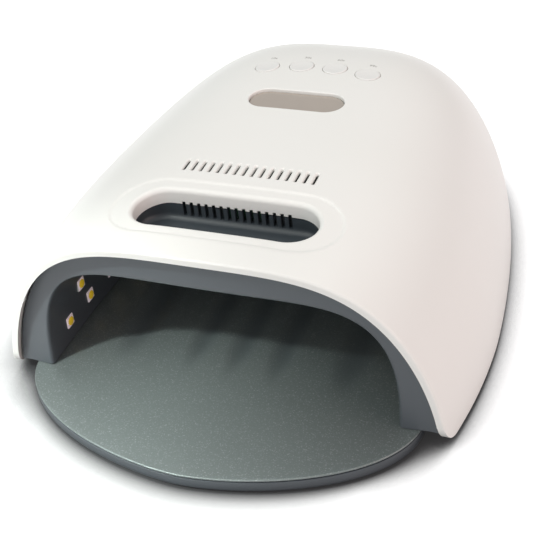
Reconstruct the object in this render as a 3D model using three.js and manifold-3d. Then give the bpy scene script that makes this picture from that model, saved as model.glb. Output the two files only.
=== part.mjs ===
// UV LED nail lamp: a domed white shell over a dark curing chamber, on a removable magnetic base tray.
// Millimetres, +Z up. The mouth faces -Y, the buttons and display are towards +Y, and X = 0 is the
// mirror plane. Everything is placed with y = 0 just ahead of the shell's front edge; the last
// lines move the origin to the middle of the footprint.
import * as THREE from "three";
import { mergeVertices } from "three/addons/utils/BufferGeometryUtils.js";
import Module from "manifold-3d";

// ---- driving dimensions ----------------------------------------------------------------------
const GAP = 0.3; // clearance between fixed neighbours
const SHELL = {
  halfWidth: 103, // widest half width
  height: 76.2, // from its lower edge to the crown
  wall: 3,
  bottom: 4, // height of its lower edge above the table
  rear: 225, // y of the tail
  widestAt: 66, // y where it is widest
  fallsFrom: 110, // y where the crown starts to fall to the tail
  front: 3.7, // y of the middle of its front edge
  frontPinch: 6.4, // how much narrower the mouth end is, 60 mm ahead of the widest section
  frontBow: 0.8, // how far the feet of the front edge sit behind its middle
  footRadius: 9, // rounding of the two front feet
  sideExponent: 4.04,
  sideTaper: 0.375, // how much rounder the section gets per 100 mm towards the tail
  topExponent: 1.538,
  acrossFall: [1.538, 5], // how its width closes towards the tail
  upFall: [4.56, 2.7], // how its crown closes towards the tail
  frontDip: 0.55, // how much the crown drops 60 mm ahead of where it is level
};
const PINCH_LENGTH = 60; // length the front pinch and dip are given over
const BOW_LENGTH = 40; // the front edge's bow fades out over this length
const CHAMBER = {
  halfWidth: 76.6,
  height: 52.4,
  depth: 160,
  wall: 2,
  sideExponent: 5.6,
  topExponent: 2.8,
  acrossFall: [3, 3.5], // how its width closes towards the back
  upFall: [4, 2.6], // how its height closes towards the back
};
const LINER = { front: 2.8, lean: 0.09, bow: 4.44, straightens: 60, thick: 2.5, ledge: 2, backFrom: 10 };
const TRAY = {
  top: 8, // height of the work surface above the table
  underside: 1.3,
  plate: 2.5, // thickness of the plate that carries the hollows
  brim: 0.9, // thickness of its brim, over the dish's rim
  halfWidth: 85.5,
  widestAt: 12.8, // y where the rounded nose starts
  nose: 52, // how far the nose reaches ahead of that
  taperFrom: 110,
  rear: 170,
  noseExponents: [1.66, 2.09],
  tailExponent: 3,
  clearance: 1.2, // between the tray and the lamp's bottom frame
};
const DISH = { floor: 1.6, rim: 2.5, rib: 1.6, ribs: [48, 98] };
const HOLLOW = {
  depth: 1.5,
  start: 14,
  end: 104,
  outer: { x: 49, halfWidth: 10 },
  inner: { x: 18.6, halfWidth: 7 },
};
const FOOT = { radius: 6, height: 1.6, recess: 0.6, x: 55, front: 4, back: 140 };
const MAGNET = { radius: 3, height: 2, fromEdge: 4, backStep: 2.5, front: 32, back: 120, cup: 4.2 };
const KEEPER = { radius: 2.6, height: 1 };
const GRIP = { y: 35.6, halfLength: 39.4, halfWidth: 12.2, skirt: 7.2, skirtWall: 2 };
const COMB = { count: 15, width: 1.5, pitch: 3.3, aboveFloor: 1.6, notch: 1 };
const TUB = { floor: 1.7, wall: 2, under: 8, aboveChamber: 0.5 };
const VENT = { count: 16, pitch: 3.8, front: 61.5, length: 7.5, width: 1.6 };
const WINDOW = { y: 124.9, halfLength: 23, halfWidth: 8.9, thick: 2, recess: 1.4 };
const BUTTON = {
  count: 4,
  y: 157.7,
  pitch: 16.5,
  arc: 2.8, // how far the outer two stand ahead of a straight row
  radius: 5.8,
  proud: 0.5,
  clear: 0.35,
  lip: 1.1, // width of the flange that holds the cap below the shell
  lipThick: 1,
};
const BOARD = { belowCrown: 11.2, thick: 1.6, ahead: 15.9, behind: 10.3, halfWidth: 37, inset: 4 };
const BORE = 1.75; // radius of every screw hole
const CHIP = { halfWidth: 6, length: 12, from: 27, height: 1.4 };
const SOCKET = { halfWidth: 18, length: 6, from: 2, height: 4 };
const DISPLAY = { halfLength: 24, halfWidth: 9.4 };
const SWITCH = { half: 3, body: 2.4, plunger: 0.7, plungerRadius: 1.7 };
const LED = { size: 5.4, recess: 0.3, clear: 0.35, board: 1.6 };
const SIDE_LEDS = {
  offWall: 2.9, // from the chamber's inner face at its widest to the board
  lowZ: 10, // these four heights are above the tray
  highZ: 21.5,
  lowY: [24.5, 43.5, 62.5, 81.5],
  highY: [37, 56, 75],
  bottom: 5,
  top: 27,
  margin: 6, // board beyond the end packages
};
const TOP_LEDS = { aboveChamber: 1, x: [15, 42], y: [71, 90], front: 65, back: 97, halfWidth: 48 };
const SINK = { thick: 1.6, fin: 3, fins: 6 };
const SENSOR = { y: 57, halfLength: 9, halfWidth: 3.6, board: 1.2, radius: 2, pitch: 10, eye: 2.4 };
const FRAME = { thick: 3, front: 13.5, slots: 8, slot: 2.2, slotPitch: 6, slotFront: 45, slotBack: 27 };
const SCREW = { radius: 1.4, headRadius: 2.8, headHeight: 1.6, long: 12, short: 7 };
const BOSS = { radius: 4, fromWall: 7.7, sideY: 46, rearX: 55, fromTail: 37, sideTop: 36 };
const LAMP_FOOT = { radius: 4.4, front: 27, back: 110, rearX: 40, fromTail: 23 };
const DRIVER = { halfWidth: 29, front: 48, rear: 11, standOff: 2.8, board: 1.6, post: 2.5, inset: 4 };
const COIL = { left: -24, right: -10, front: 5, back: 19, height: 11 };
const CAPACITOR = { xs: [3, 16], from: 11, height: 14, radius: 5 };
const REGULATOR = { left: -24, right: -14, front: 14, back: 4, height: 6 };
const JACK = {
  size: 10,
  offWall: 1, // from the tail's inner face to the block
  body: 11.5,
  mouth: 0.7, // the mouth, ahead of the tail
  collar: 3.9,
  bore: 2.8,
  pin: 1,
  boreDepth: 9,
  clear: 0.35,
};
const OUT = SHELL.rear; // past the outside of the lamp in any direction
const OVERLAP = 0.3; // how far joined solids run into each other
const LID = 60; // height below every opening in the shell's top

const tone = (color, roughness, metalness = 0) => {
  return new THREE.MeshStandardMaterial({ color, roughness, metalness });
};
const WHITE = tone(0xeeece8, 0.35);
const GRAPHITE = tone(0x4b5257, 0.5);
const LAMINATE = tone(0x1d5b3a, 0.6);
const METAL = tone(0xb9bcc0, 0.3, 1);
const RUBBER = tone(0x222426, 0.9);
const SMOKE = tone(0x9d9289, 0.1);

// ---- manifold helpers ------------------------------------------------------------------------
const wasm = await Module();
wasm.setup();

function solid(geometry) {
  const bare = (geometry.index ? geometry.toNonIndexed() : geometry).clone();
  for (const name of Object.keys(bare.attributes)) if (name !== "position") bare.deleteAttribute(name);
  const merged = mergeVertices(bare, 1e-3);
  const corners = [];
  for (let i = 0; i < merged.index.count; i += 3) {
    const [a, b, c] = merged.index.array.slice(i, i + 3);
    if (a !== b && b !== c && c !== a) corners.push(a, b, c);
  }
  const { array } = merged.attributes.position;
  const mesh = new wasm.Mesh({ numProp: 3, vertProperties: array, triVerts: new Uint32Array(corners) });
  return new wasm.Manifold(mesh);
}

function geometryOf(manifold) {
  const mesh = manifold.getMesh();
  const made = new THREE.BufferGeometry();
  made.setAttribute("position", new THREE.BufferAttribute(new Float32Array(mesh.vertProperties), 3));
  made.setIndex(new THREE.BufferAttribute(new Uint32Array(mesh.triVerts), 1));
  const flat = made.toNonIndexed();
  flat.computeVertexNormals();
  return flat;
}

const join = (pieces) => pieces.reduce((a, b) => a.add(b));
const cut = (body, tools) => tools.reduce((a, b) => a.subtract(b), body);
const mirrored = (points) => [...points, ...points.map(([x, ...rest]) => [-x, ...rest])];

const part = new THREE.Group();
function piece(name, manifold, material) {
  const mesh = new THREE.Mesh(geometryOf(manifold), material);
  mesh.name = name;
  part.add(mesh);
}

// ---- basic solids ----------------------------------------------------------------------------
function box(x0, x1, y0, y1, z0, z1) {
  const blank = new THREE.BoxGeometry(x1 - x0, y1 - y0, z1 - z0);
  return solid(blank.translate((x0 + x1) / 2, (y0 + y1) / 2, (z0 + z1) / 2));
}
function disc(x, y, z0, z1, radius, sides = 20) {
  const blank = new THREE.CylinderGeometry(radius, radius, z1 - z0, sides).rotateX(Math.PI / 2);
  return solid(blank.translate(x, y, (z0 + z1) / 2));
}
function rodY(x, y0, y1, z, radius, sides = 20) {
  const blank = new THREE.CylinderGeometry(radius, radius, y1 - y0, sides);
  return solid(blank.translate(x, (y0 + y1) / 2, z));
}

function extruded(shape, z0, z1, curveSegments = 10) {
  const made = new THREE.ExtrudeGeometry(shape, { depth: z1 - z0, bevelEnabled: false, curveSegments });
  return solid(made.translate(0, 0, z0));
}

// A slot outline with round ends, centred on (0, y).
function stadium(y, halfLength, halfWidth) {
  const shape = new THREE.Shape();
  const straight = halfLength - halfWidth;
  shape.absarc(straight, y, halfWidth, -Math.PI / 2, Math.PI / 2);
  shape.absarc(-straight, y, halfWidth, Math.PI / 2, (3 * Math.PI) / 2);
  return shape;
}

// ---- the arched forms ------------------------------------------------------------------------
const signedPower = (value, power) => Math.sign(value) * Math.abs(value) ** power;
const falloff = (share, power, root) => Math.max(1 - Math.max(share, 0) ** power, 0) ** (1 / root);
const bounded = (value, low, high) => Math.min(Math.max(value, low), high);

function shellHalfWidth(y, inset = 0) {
  const { halfWidth, widestAt, rear, frontPinch } = SHELL;
  const share = Math.min((y - widestAt) / (rear - inset - widestAt), 1);
  const ahead = Math.max((widestAt - y) / PINCH_LENGTH, 0);
  return (halfWidth - inset) * falloff(share, ...SHELL.acrossFall) - frontPinch * ahead ** 2;
}
function shellHeight(y, inset = 0) {
  const share = Math.min((y - SHELL.fallsFrom) / (SHELL.rear - inset - SHELL.fallsFrom), 1);
  const ahead = Math.max((SHELL.fallsFrom - y) / PINCH_LENGTH, 0);
  return (SHELL.height - inset) * falloff(share, ...SHELL.upFall) - SHELL.frontDip * ahead ** 2;
}
const sideExponentAt = (y) => SHELL.sideExponent - SHELL.sideTaper * bounded(y / 100, 0, 2);

// A point of the shell's skin, or of a skin inset from it, at an angle round the arch from +X to -X.
function shellPoint(angle, y, inset = 0) {
  const x = shellHalfWidth(y, inset) * signedPower(Math.cos(angle), 2 / sideExponentAt(y));
  const z = shellHeight(y, inset) * Math.max(Math.sin(angle), 0) ** (2 / SHELL.topExponent);
  return [x, y, z + SHELL.bottom];
}
function shellTop(x, y, inset = 0) {
  const share = Math.min(Math.abs(x) / shellHalfWidth(y, inset), 1);
  return SHELL.bottom + shellHeight(y, inset) * falloff(share, sideExponentAt(y), SHELL.topExponent);
}
// How far back the shell's inner face still clears a height at the mirror plane.
function tailAbove(z) {
  const [power, root] = SHELL.upFall;
  const share = (z + GAP - SHELL.bottom) / (SHELL.height - SHELL.wall);
  const fall = SHELL.rear - SHELL.wall - SHELL.fallsFrom;
  return SHELL.fallsFrom + fall * (1 - share ** root) ** (1 / power);
}

// A point of the chamber's inner face, or of a face grown outwards from it.
function chamberFall(y, grow) {
  const share = Math.min((y - LINER.front) / (CHAMBER.depth + grow - LINER.front), 1);
  return { across: falloff(share, ...CHAMBER.acrossFall), up: falloff(share, ...CHAMBER.upFall) };
}
function chamberPoint(angle, y, grow = 0) {
  const fall = chamberFall(y, grow);
  const wide = (CHAMBER.halfWidth + grow) * fall.across;
  const x = wide * signedPower(Math.cos(angle), 2 / CHAMBER.sideExponent);
  const z = (CHAMBER.height + grow) * fall.up * Math.max(Math.sin(angle), 0) ** (2 / CHAMBER.topExponent);
  return [x, y, z + TRAY.top];
}
function chamberWallX(y, z, grow = 0) {
  const fall = chamberFall(y, grow);
  const share = (z - TRAY.top) / ((CHAMBER.height + grow) * fall.up);
  const wide = (CHAMBER.halfWidth + grow) * fall.across;
  return wide * falloff(share, CHAMBER.topExponent, CHAMBER.sideExponent);
}
function chamberCeiling(x, y, grow = 0) {
  const fall = chamberFall(y, grow);
  const share = Math.abs(x) / ((CHAMBER.halfWidth + grow) * fall.across);
  const tall = (CHAMBER.height + grow) * fall.up;
  return TRAY.top + tall * falloff(share, CHAMBER.sideExponent, CHAMBER.topExponent);
}

// Angles round an arch that space its points evenly along the curve.
function evenAngles(count, sideExponent, topExponent, width, height) {
  const fine = Array.from({ length: 4001 }, (_, i) => (Math.PI * i) / 4000);
  const at = (t) => {
    return [width * signedPower(Math.cos(t), 2 / sideExponent), height * Math.sin(t) ** (2 / topExponent)];
  };
  const lengths = [0];
  fine.slice(1).forEach((t, i) => {
    const [a, b] = [at(fine[i]), at(Math.min(t, Math.PI - 1e-9))];
    lengths.push(lengths[i] + Math.hypot(b[0] - a[0], b[1] - a[1]));
  });
  const step = lengths.at(-1) / count;
  const inner = Array.from({ length: count - 1 }, (_, i) => lengths.findIndex((l) => l >= (i + 1) * step));
  return [0, ...inner.map((i) => fine[i]), Math.PI];
}
const anglesOf = (count, arch) => {
  return evenAngles(count, arch.sideExponent, arch.topExponent, arch.halfWidth, arch.height);
};
const SHELL_ANGLES = anglesOf(28, SHELL);
const CHAMBER_ANGLES = anglesOf(24, CHAMBER);

// How far the shell's front edge and the liner's face stand back from their nominal y.
const across = (x) => (x / SHELL.halfWidth) ** 2;
const shellBow = (x, y) => SHELL.frontBow * across(x) * bounded(1 - y / BOW_LENGTH, 0, 1);
function linerLean(x, y, z) {
  const fade = bounded(1 - (y - LINER.front - LINER.thick) / LINER.straightens, 0, 1);
  return (LINER.lean * z + LINER.bow * across(x)) * fade;
}

// The solid under a skin: rows of points from the front to the tail, closed by a level floor.
function domeSolid(rows, floor, standBack) {
  const corners = [];
  const placed = ([x, y, z]) => [x, y + standBack(x, y, z), z];
  const quad = (...four) => {
    const [a, b, c, d] = four.map(placed);
    corners.push(...a, ...b, ...c, ...a, ...c, ...d);
  };
  const down = ([x, y]) => [x, y, floor];
  rows.slice(1).forEach((row, j) => {
    const ahead = rows[j];
    for (let i = 0; i + 1 < row.length; i += 1) {
      quad(ahead[i], row[i], row[i + 1], ahead[i + 1]);
      quad(down(ahead[i + 1]), down(row[i + 1]), down(row[i]), down(ahead[i]));
    }
    quad(down(ahead[0]), down(row[0]), row[0], ahead[0]);
    quad(ahead.at(-1), row.at(-1), down(row.at(-1)), down(ahead.at(-1)));
  });
  const [front, tail] = [rows[0], rows.at(-1)];
  for (let i = 0; i + 1 < front.length; i += 1) {
    quad(front[i], front[i + 1], down(front[i + 1]), down(front[i]));
    quad(tail[i + 1], tail[i], down(tail[i]), down(tail[i + 1]));
  }
  const skin = new THREE.BufferGeometry();
  return solid(skin.setAttribute("position", new THREE.Float32BufferAttribute(corners, 3)));
}

const SHELL_SHARES = [0.03, 0.09, 0.19, 0.31, 0.46, 0.58, 0.68, 0.77, 0.85, 0.91, 0.952, 0.981, 0.9955, 1];
function shellSolid(inset, front, floor = SHELL.bottom) {
  const ys = [front, ...SHELL_SHARES.map((share) => (SHELL.rear - inset) * share)];
  return domeSolid(ys.map((y) => SHELL_ANGLES.map((t) => shellPoint(t, y, inset))), floor, shellBow);
}
function chamberSolid(grow, front, floor) {
  const shares = [0, 0.2, 0.4, 0.58, 0.73, 0.85, 0.94, 0.988, 1];
  const back = CHAMBER.depth + grow;
  const ys = [front, ...shares.map((share) => LINER.front + 0.5 + (back - LINER.front - 0.5) * share)];
  const unique = ys.filter((y, i) => i === 0 || y > ys[i - 1]);
  return domeSolid(unique.map((y) => CHAMBER_ANGLES.map((t) => chamberPoint(t, y, grow))), floor, linerLean);
}

// ---- places that follow from the sizes -------------------------------------------------------
const chamberRoof = TRAY.top + CHAMBER.height + CHAMBER.wall;
const tubFloor = chamberRoof + TUB.aboveChamber + TUB.floor;
const combBottom = tubFloor + COMB.aboveFloor;
const boardTop = SHELL.bottom + SHELL.height - BOARD.belowCrown;
const boardFront = WINDOW.y - BOARD.ahead;
const boardRear = BUTTON.y + BOARD.behind;
const sideLedX = CHAMBER.halfWidth + SIDE_LEDS.offWall;
const sideBoardBottom = TRAY.top + SIDE_LEDS.bottom;
const sideBoardTop = TRAY.top + SIDE_LEDS.top;
const topLedZ = chamberRoof + TOP_LEDS.aboveChamber;
const bossX = shellHalfWidth(BOSS.sideY, SHELL.wall) - BOSS.fromWall;
const bossRearY = SHELL.rear - BOSS.fromTail;
const ledgeBottom = TRAY.top + GAP;
const magnetX = TRAY.halfWidth - MAGNET.fromEdge;
const lampFootX = TRAY.halfWidth + TRAY.clearance + GAP + LAMP_FOOT.radius;
const lampFootHeight = SHELL.bottom;
const jackMouth = SHELL.rear - JACK.mouth;
const driverFront = SHELL.rear - DRIVER.front;
const driverRear = SHELL.rear - DRIVER.rear;

// ---- shared volumes --------------------------------------------------------------------------
const outerSkin = shellSolid(0, SHELL.front);
const innerSkin = shellSolid(SHELL.wall, -20, 0);
const fitSkin = shellSolid(SHELL.wall + GAP, SHELL.front + 1);
const chamber = chamberSolid(0, -20, 0);
const above = (x0, x1, y0, y1, z) => box(x0, x1, y0, y1, z, OUT);

// The tray's outline: a broad rounded nose, straight sides and a rounded back, inset or grown by an amount.
function trayOutline(inset) {
  const half = TRAY.halfWidth - inset;
  const nose = TRAY.nose - inset;
  const tail = TRAY.rear - TRAY.taperFrom - inset;
  const [broad, long] = TRAY.noseExponents;
  const round = 2 / TRAY.tailExponent;
  const points = [];
  for (let i = 0; i <= 32; i += 1) {
    const t = (Math.PI * i) / 32;
    const x = half * signedPower(Math.cos(t), 2 / broad);
    points.push([x, TRAY.widestAt - nose * Math.sin(t) ** (2 / long)]);
  }
  for (let i = 1; i < 16; i += 1) {
    const t = (Math.PI * i) / 16;
    points.push([-half * signedPower(Math.cos(t), round), TRAY.taperFrom + tail * Math.sin(t) ** round]);
  }
  points.push([-half, TRAY.taperFrom], [half, TRAY.taperFrom]);
  const order = [...points.slice(0, 33), points.at(-2), ...points.slice(33, -2), points.at(-1)];
  return new THREE.Shape(order.reverse().map(([x, y]) => new THREE.Vector2(x, y)));
}
const trayRoom = extruded(trayOutline(-TRAY.clearance), -2, TRAY.top + GAP);

// ---- tray: a shallow dish on rubber feet, closed by a plate with five finger hollows ---------
const plateBottom = TRAY.top - TRAY.plate;
const ribTop = plateBottom - GAP;
const rimTop = TRAY.top - TRAY.brim - GAP;
const magnetSpots = mirrored([[magnetX, MAGNET.front], [magnetX - MAGNET.backStep, MAGNET.back]]);
const footSpots = mirrored([[FOOT.x, FOOT.front], [FOOT.x, FOOT.back]]);
{
  const dish = extruded(trayOutline(0), TRAY.underside, rimTop);
  const plateRoom = extruded(trayOutline(DISH.rim), ribTop, OUT);
  const ribs = [
    ...DISH.ribs.map((y) => box(-OUT, OUT, y, y + DISH.rib, 0, OUT)),
    box(-DISH.rib / 2, DISH.rib / 2, -OUT, 2 * OUT, 0, OUT),
  ];
  const cups = magnetSpots.map(([x, y]) => disc(x, y, 0, OUT, MAGNET.cup));
  const hollow = cut(extruded(trayOutline(DISH.rim), TRAY.underside + DISH.floor, OUT), [...ribs, ...cups]);
  const socket = TRAY.underside + FOOT.recess;
  const seats = footSpots.map(([x, y]) => disc(x, y, 0, socket, FOOT.radius + GAP, 24));
  const seat = ribTop - MAGNET.height - 2 * GAP;
  const bores = magnetSpots.map(([x, y]) => disc(x, y, seat, OUT, MAGNET.radius + GAP));
  piece("tray_base", cut(dish, [hollow, plateRoom, ...seats, ...bores]), GRAPHITE);
}
{
  const brim = extruded(trayOutline(0), TRAY.top - TRAY.brim, TRAY.top);
  const plate = extruded(trayOutline(DISH.rim + GAP), plateBottom, TRAY.top).add(brim);
  const long = HOLLOW.end - HOLLOW.start;
  const trough = (x, halfWidth) => {
    const capsule = new THREE.CapsuleGeometry(halfWidth, long - 2 * halfWidth, 4, 20);
    const flat = capsule.scale(1, 1, HOLLOW.depth / halfWidth);
    return solid(flat.translate(x, (HOLLOW.start + HOLLOW.end) / 2, TRAY.top));
  };
  const { outer, inner } = HOLLOW;
  const wide = mirrored([[outer.x]]).map(([x]) => trough(x, outer.halfWidth));
  const narrow = [-inner.x, 0, inner.x].map((x) => trough(x, inner.halfWidth));
  piece("tray_plate", cut(plate, [...wide, ...narrow]), GRAPHITE);
}
magnetSpots.forEach(([x, y], i) => {
  const top = ribTop - GAP;
  piece(`tray_magnet_${i + 1}`, disc(x, y, top - MAGNET.height, top, MAGNET.radius), METAL);
});
footSpots.forEach(([x, y], i) => {
  piece(`tray_foot_${i + 1}`, disc(x, y, 0, FOOT.height, FOOT.radius, 24), RUBBER);
});

// ---- outer shell: one white moulding, open below and at the mouth ----------------------------
const row = (count, pitch) => Array.from({ length: count }, (_, i) => (i - (count - 1) / 2) * pitch);
const gripHole = (grow) => extruded(stadium(GRIP.y, GRIP.halfLength + grow, GRIP.halfWidth + grow), 40, OUT);
const gripRear = GRIP.y + GRIP.halfWidth;
const skirtBottom = shellTop(0, GRIP.y) - GRIP.skirt;
const boardScrews = mirrored([
  [BOARD.halfWidth - BOARD.inset, boardFront + BOARD.inset],
  [BOARD.halfWidth - BOARD.inset, boardRear - BOARD.inset],
]);
const [sideBosses, rearBosses] = [mirrored([[bossX, BOSS.sideY]]), mirrored([[BOSS.rearX, bossRearY]])];
const frameScrews = [sideBosses[0], rearBosses[0], sideBosses[1], rearBosses[1]];
const buttonReach = ((BUTTON.count - 1) / 2) * BUTTON.pitch;
const buttonSpots = row(BUTTON.count, BUTTON.pitch).map((x) => {
  return [x, BUTTON.y - BUTTON.arc * (x / buttonReach) ** 2];
});
const frameTop = SHELL.bottom + GAP + FRAME.thick;
const driverTop = frameTop + DRIVER.standOff + DRIVER.board;
const jackZ = driverTop + GAP + JACK.size / 2;
const jackRear = Math.min(SHELL.rear - SHELL.wall - JACK.offWall, tailAbove(jackZ + JACK.size / 2) - GAP);
const jackFront = jackRear - JACK.body;
{
  const midSkin = shellSolid(SHELL.wall / 3, SHELL.front);
  const boss = (x, y, z0, z1) => disc(x, y, z0, z1, BOSS.radius, 16).intersect(midSkin);
  const bosses = [
    ...boardScrews.map(([x, y]) => boss(x, y, boardTop + GAP, SHELL.height + SHELL.bottom)),
    ...sideBosses.map(([x, y]) => boss(x, y, frameTop + GAP, BOSS.sideTop)),
    ...rearBosses.map(([x, y]) => boss(x, y, frameTop + GAP, shellTop(x, y))),
  ];
  const belowSkirt = outerSkin.translate([0, 0, -GRIP.skirt]);
  const skirt = gripHole(GRIP.skirtWall).intersect(outerSkin).subtract(belowSkirt);
  const corner = new THREE.Shape();
  const [cy, cz] = [SHELL.front + SHELL.frontBow + SHELL.footRadius, SHELL.bottom + SHELL.footRadius];
  corner.moveTo(cy, -10);
  corner.lineTo(cy, cz - SHELL.footRadius);
  corner.absarc(cy, cz, SHELL.footRadius, -Math.PI / 2, Math.PI, true);
  corner.lineTo(-10, cz);
  corner.lineTo(-10, -10);
  const prism = new THREE.ExtrudeGeometry(corner, { depth: 2 * OUT, bevelEnabled: false, curveSegments: 8 });
  const footRound = solid(prism.rotateY(Math.PI / 2).rotateX(Math.PI / 2).translate(-OUT, 0, 0));
  const holes = [
    gripHole(0),
    extruded(stadium(WINDOW.y, WINDOW.halfLength, WINDOW.halfWidth), LID, OUT),
    ...row(VENT.count, VENT.pitch).map((x) => {
      return above(x - VENT.width / 2, x + VENT.width / 2, VENT.front, VENT.front + VENT.length, LID);
    }),
    ...buttonSpots.map(([x, y]) => disc(x, y, boardTop, OUT, BUTTON.radius + BUTTON.clear, 24)),
    ...row(COMB.count, COMB.pitch).map((x) => {
      const [x0, x1] = [x - COMB.width / 2, x + COMB.width / 2];
      return box(x0, x1, gripRear - 1, gripRear + 4, LID, skirtBottom + COMB.notch);
    }),
    ...boardScrews.map(([x, y]) => disc(x, y, LID, boardTop + SCREW.short - 1.5, BORE, 12)),
    ...frameScrews.map(([x, y]) => disc(x, y, 0, frameTop + SCREW.long, BORE, 12)),
    rodY(0, jackFront + JACK.body - 5, OUT * 2, jackZ, JACK.collar + JACK.clear),
  ];
  const bare = outerSkin.subtract(innerSkin);
  piece("outer_shell", cut(join([bare, skirt, ...bosses]), [footRound, ...holes]), WHITE);
}

// ---- bottom frame: closes the shell round the tray, and carries the driver board -------------
{
  const level = box(-OUT, OUT, FRAME.front, 2 * OUT, SHELL.bottom + GAP, frameTop);
  const plate = fitSkin.intersect(level).subtract(trayRoom);
  const postX = DRIVER.halfWidth - DRIVER.inset;
  const postSpots = mirrored([[postX, driverFront + DRIVER.inset], [postX, driverRear - DRIVER.inset]]);
  const postTop = frameTop + DRIVER.standOff - GAP;
  const posts = postSpots.map(([x, y]) => disc(x, y, frameTop - 1, postTop, DRIVER.post, 12));
  const seat = SHELL.bottom + GAP + SCREW.headHeight;
  const tools = [
    ...frameScrews.map(([x, y]) => disc(x, y, 0, OUT, BORE, 12)),
    ...frameScrews.map(([x, y]) => disc(x, y, 0, seat + GAP, SCREW.headRadius + GAP, 16)),
    ...row(FRAME.slots, FRAME.slotPitch).map((x) => {
      const [front, back] = [SHELL.rear - FRAME.slotFront, SHELL.rear - FRAME.slotBack];
      return box(x - FRAME.slot / 2, x + FRAME.slot / 2, front, back, 0, frameTop + 1);
    }),
  ];
  piece("bottom_frame", cut(join([plate, ...posts]), tools), GRAPHITE);
  frameScrews.forEach(([x, y], i) => {
    const head = disc(x, y, seat - SCREW.headHeight, seat, SCREW.headRadius, 16);
    const shank = disc(x, y, seat - 0.5, seat + SCREW.long - 3, SCREW.radius, 12);
    piece(`frame_screw_${i + 1}`, head.add(shank), METAL);
  });
  const spots = [
    [lampFootX, LAMP_FOOT.front],
    [lampFootX, LAMP_FOOT.back],
    [LAMP_FOOT.rearX, SHELL.rear - LAMP_FOOT.fromTail],
  ];
  mirrored(spots).forEach(([x, y], i) => {
    piece(`lamp_foot_${i + 1}`, disc(x, y, 0, lampFootHeight, LAMP_FOOT.radius, 20), RUBBER);
  });
}

// ---- inner liner: flange round the mouth and the curing chamber, pierced for the LEDs --------
const lowLeds = SIDE_LEDS.lowY.map((y) => [y, TRAY.top + SIDE_LEDS.lowZ]);
const highLeds = SIDE_LEDS.highY.map((y) => [y, TRAY.top + SIDE_LEDS.highZ]);
const sideLeds = [...lowLeds, ...highLeds];
const topLeds = TOP_LEDS.y.flatMap((y) => mirrored(TOP_LEDS.x.map((x) => [x, y])));
const ledRoom = LED.size / 2 + LED.clear;
const keeperBottom = ledgeBottom + LINER.ledge + GAP;
{
  const faceRow = (y) => SHELL_ANGLES.map((t) => shellPoint(t, y, SHELL.wall + GAP));
  const faceRows = [faceRow(LINER.front), faceRow(LINER.front + LINER.thick)];
  const flange = domeSolid(faceRows, SHELL.bottom + GAP, linerLean);
  const walls = chamberSolid(CHAMBER.wall, LINER.front + 0.5, ledgeBottom);
  const behind = box(-OUT, OUT, LINER.backFrom, 2 * OUT, 0, OUT);
  const ledge = extruded(trayOutline(0), ledgeBottom, ledgeBottom + LINER.ledge).intersect(behind);
  const tools = [
    chamber,
    trayRoom,
    ...[1, -1].flatMap((side) =>
      sideLeds.map(([y, z]) => {
        const wall = side * CHAMBER.halfWidth;
        return box(wall - 8, wall + 8, y - ledRoom, y + ledRoom, z - ledRoom, z + ledRoom);
      }),
    ),
    ...topLeds.map(([x, y]) => above(x - ledRoom, x + ledRoom, y - ledRoom, y + ledRoom, chamberRoof - 12)),
    ...mirrored([[SENSOR.pitch / 2]]).map(([x]) => {
      return disc(x, SENSOR.y, chamberRoof - 12, OUT, SENSOR.radius + LED.clear);
    }),
  ];
  piece("inner_liner", cut(join([flange, walls, ledge]), tools), GRAPHITE);
  magnetSpots.forEach(([x, y], i) => {
    const keeper = disc(x, y, keeperBottom, keeperBottom + KEEPER.height, KEEPER.radius);
    piece(`keeper_disc_${i + 1}`, keeper, METAL);
  });
}

// ---- LED boards with their heat sinks, and the hand sensor -----------------------------------
const half = LED.size / 2;
for (const side of [1, -1]) {
  const name = side > 0 ? "right" : "left";
  const slab = (x0, x1, ...rest) => {
    return box(Math.min(side * x0, side * x1), Math.max(side * x0, side * x1), ...rest);
  };
  const [y0, y1] = [SIDE_LEDS.lowY[0] - SIDE_LEDS.margin, SIDE_LEDS.lowY.at(-1) + SIDE_LEDS.margin];
  const board = slab(sideLedX, sideLedX + LED.board, y0, y1, sideBoardBottom, sideBoardTop);
  const emitters = sideLeds.map(([y, z]) => {
    const tip = chamberWallX(y + half, z + half) + LED.recess;
    return slab(tip, sideLedX + 0.5, y - half, y + half, z - half, z + half);
  });
  piece(`led_board_${name}`, join([board, ...emitters]), LAMINATE);
  const backX = sideLedX + LED.board + GAP;
  const base = slab(backX, backX + SINK.thick, y0, y1, sideBoardBottom, sideBoardTop);
  const fins = Array.from({ length: SINK.fins }, (_, i) => {
    const z = sideBoardBottom + 1 + (i * (sideBoardTop - sideBoardBottom - 3)) / (SINK.fins - 1);
    return slab(backX + 0.5, backX + SINK.thick + SINK.fin, y0, y1, z, z + 1);
  });
  piece(`heat_sink_${name}`, join([base, ...fins]), METAL);
}
{
  const { front, back, halfWidth } = TOP_LEDS;
  const z = topLedZ;
  const board = box(-halfWidth, halfWidth, front, back, z, z + LED.board);
  const emitters = topLeds.map(([x, y]) => {
    const tip = chamberCeiling(Math.abs(x) - half, y - half) + LED.recess;
    return box(x - half, x + half, y - half, y + half, tip, z + 0.5);
  });
  piece("led_board_top", join([board, ...emitters]), LAMINATE);
  const bottom = chamberRoof + 2 * GAP;
  const { y, halfLength, halfWidth: reach } = SENSOR;
  const card = box(-halfLength, halfLength, y - reach, y + reach, bottom, bottom + SENSOR.board);
  const eyes = mirrored([[SENSOR.pitch / 2]]).map(([x]) => {
    return disc(x, y, bottom - SENSOR.eye, bottom + OVERLAP, SENSOR.radius, 16);
  });
  piece("hand_sensor", join([card, ...eyes]), LAMINATE);
}

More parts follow.
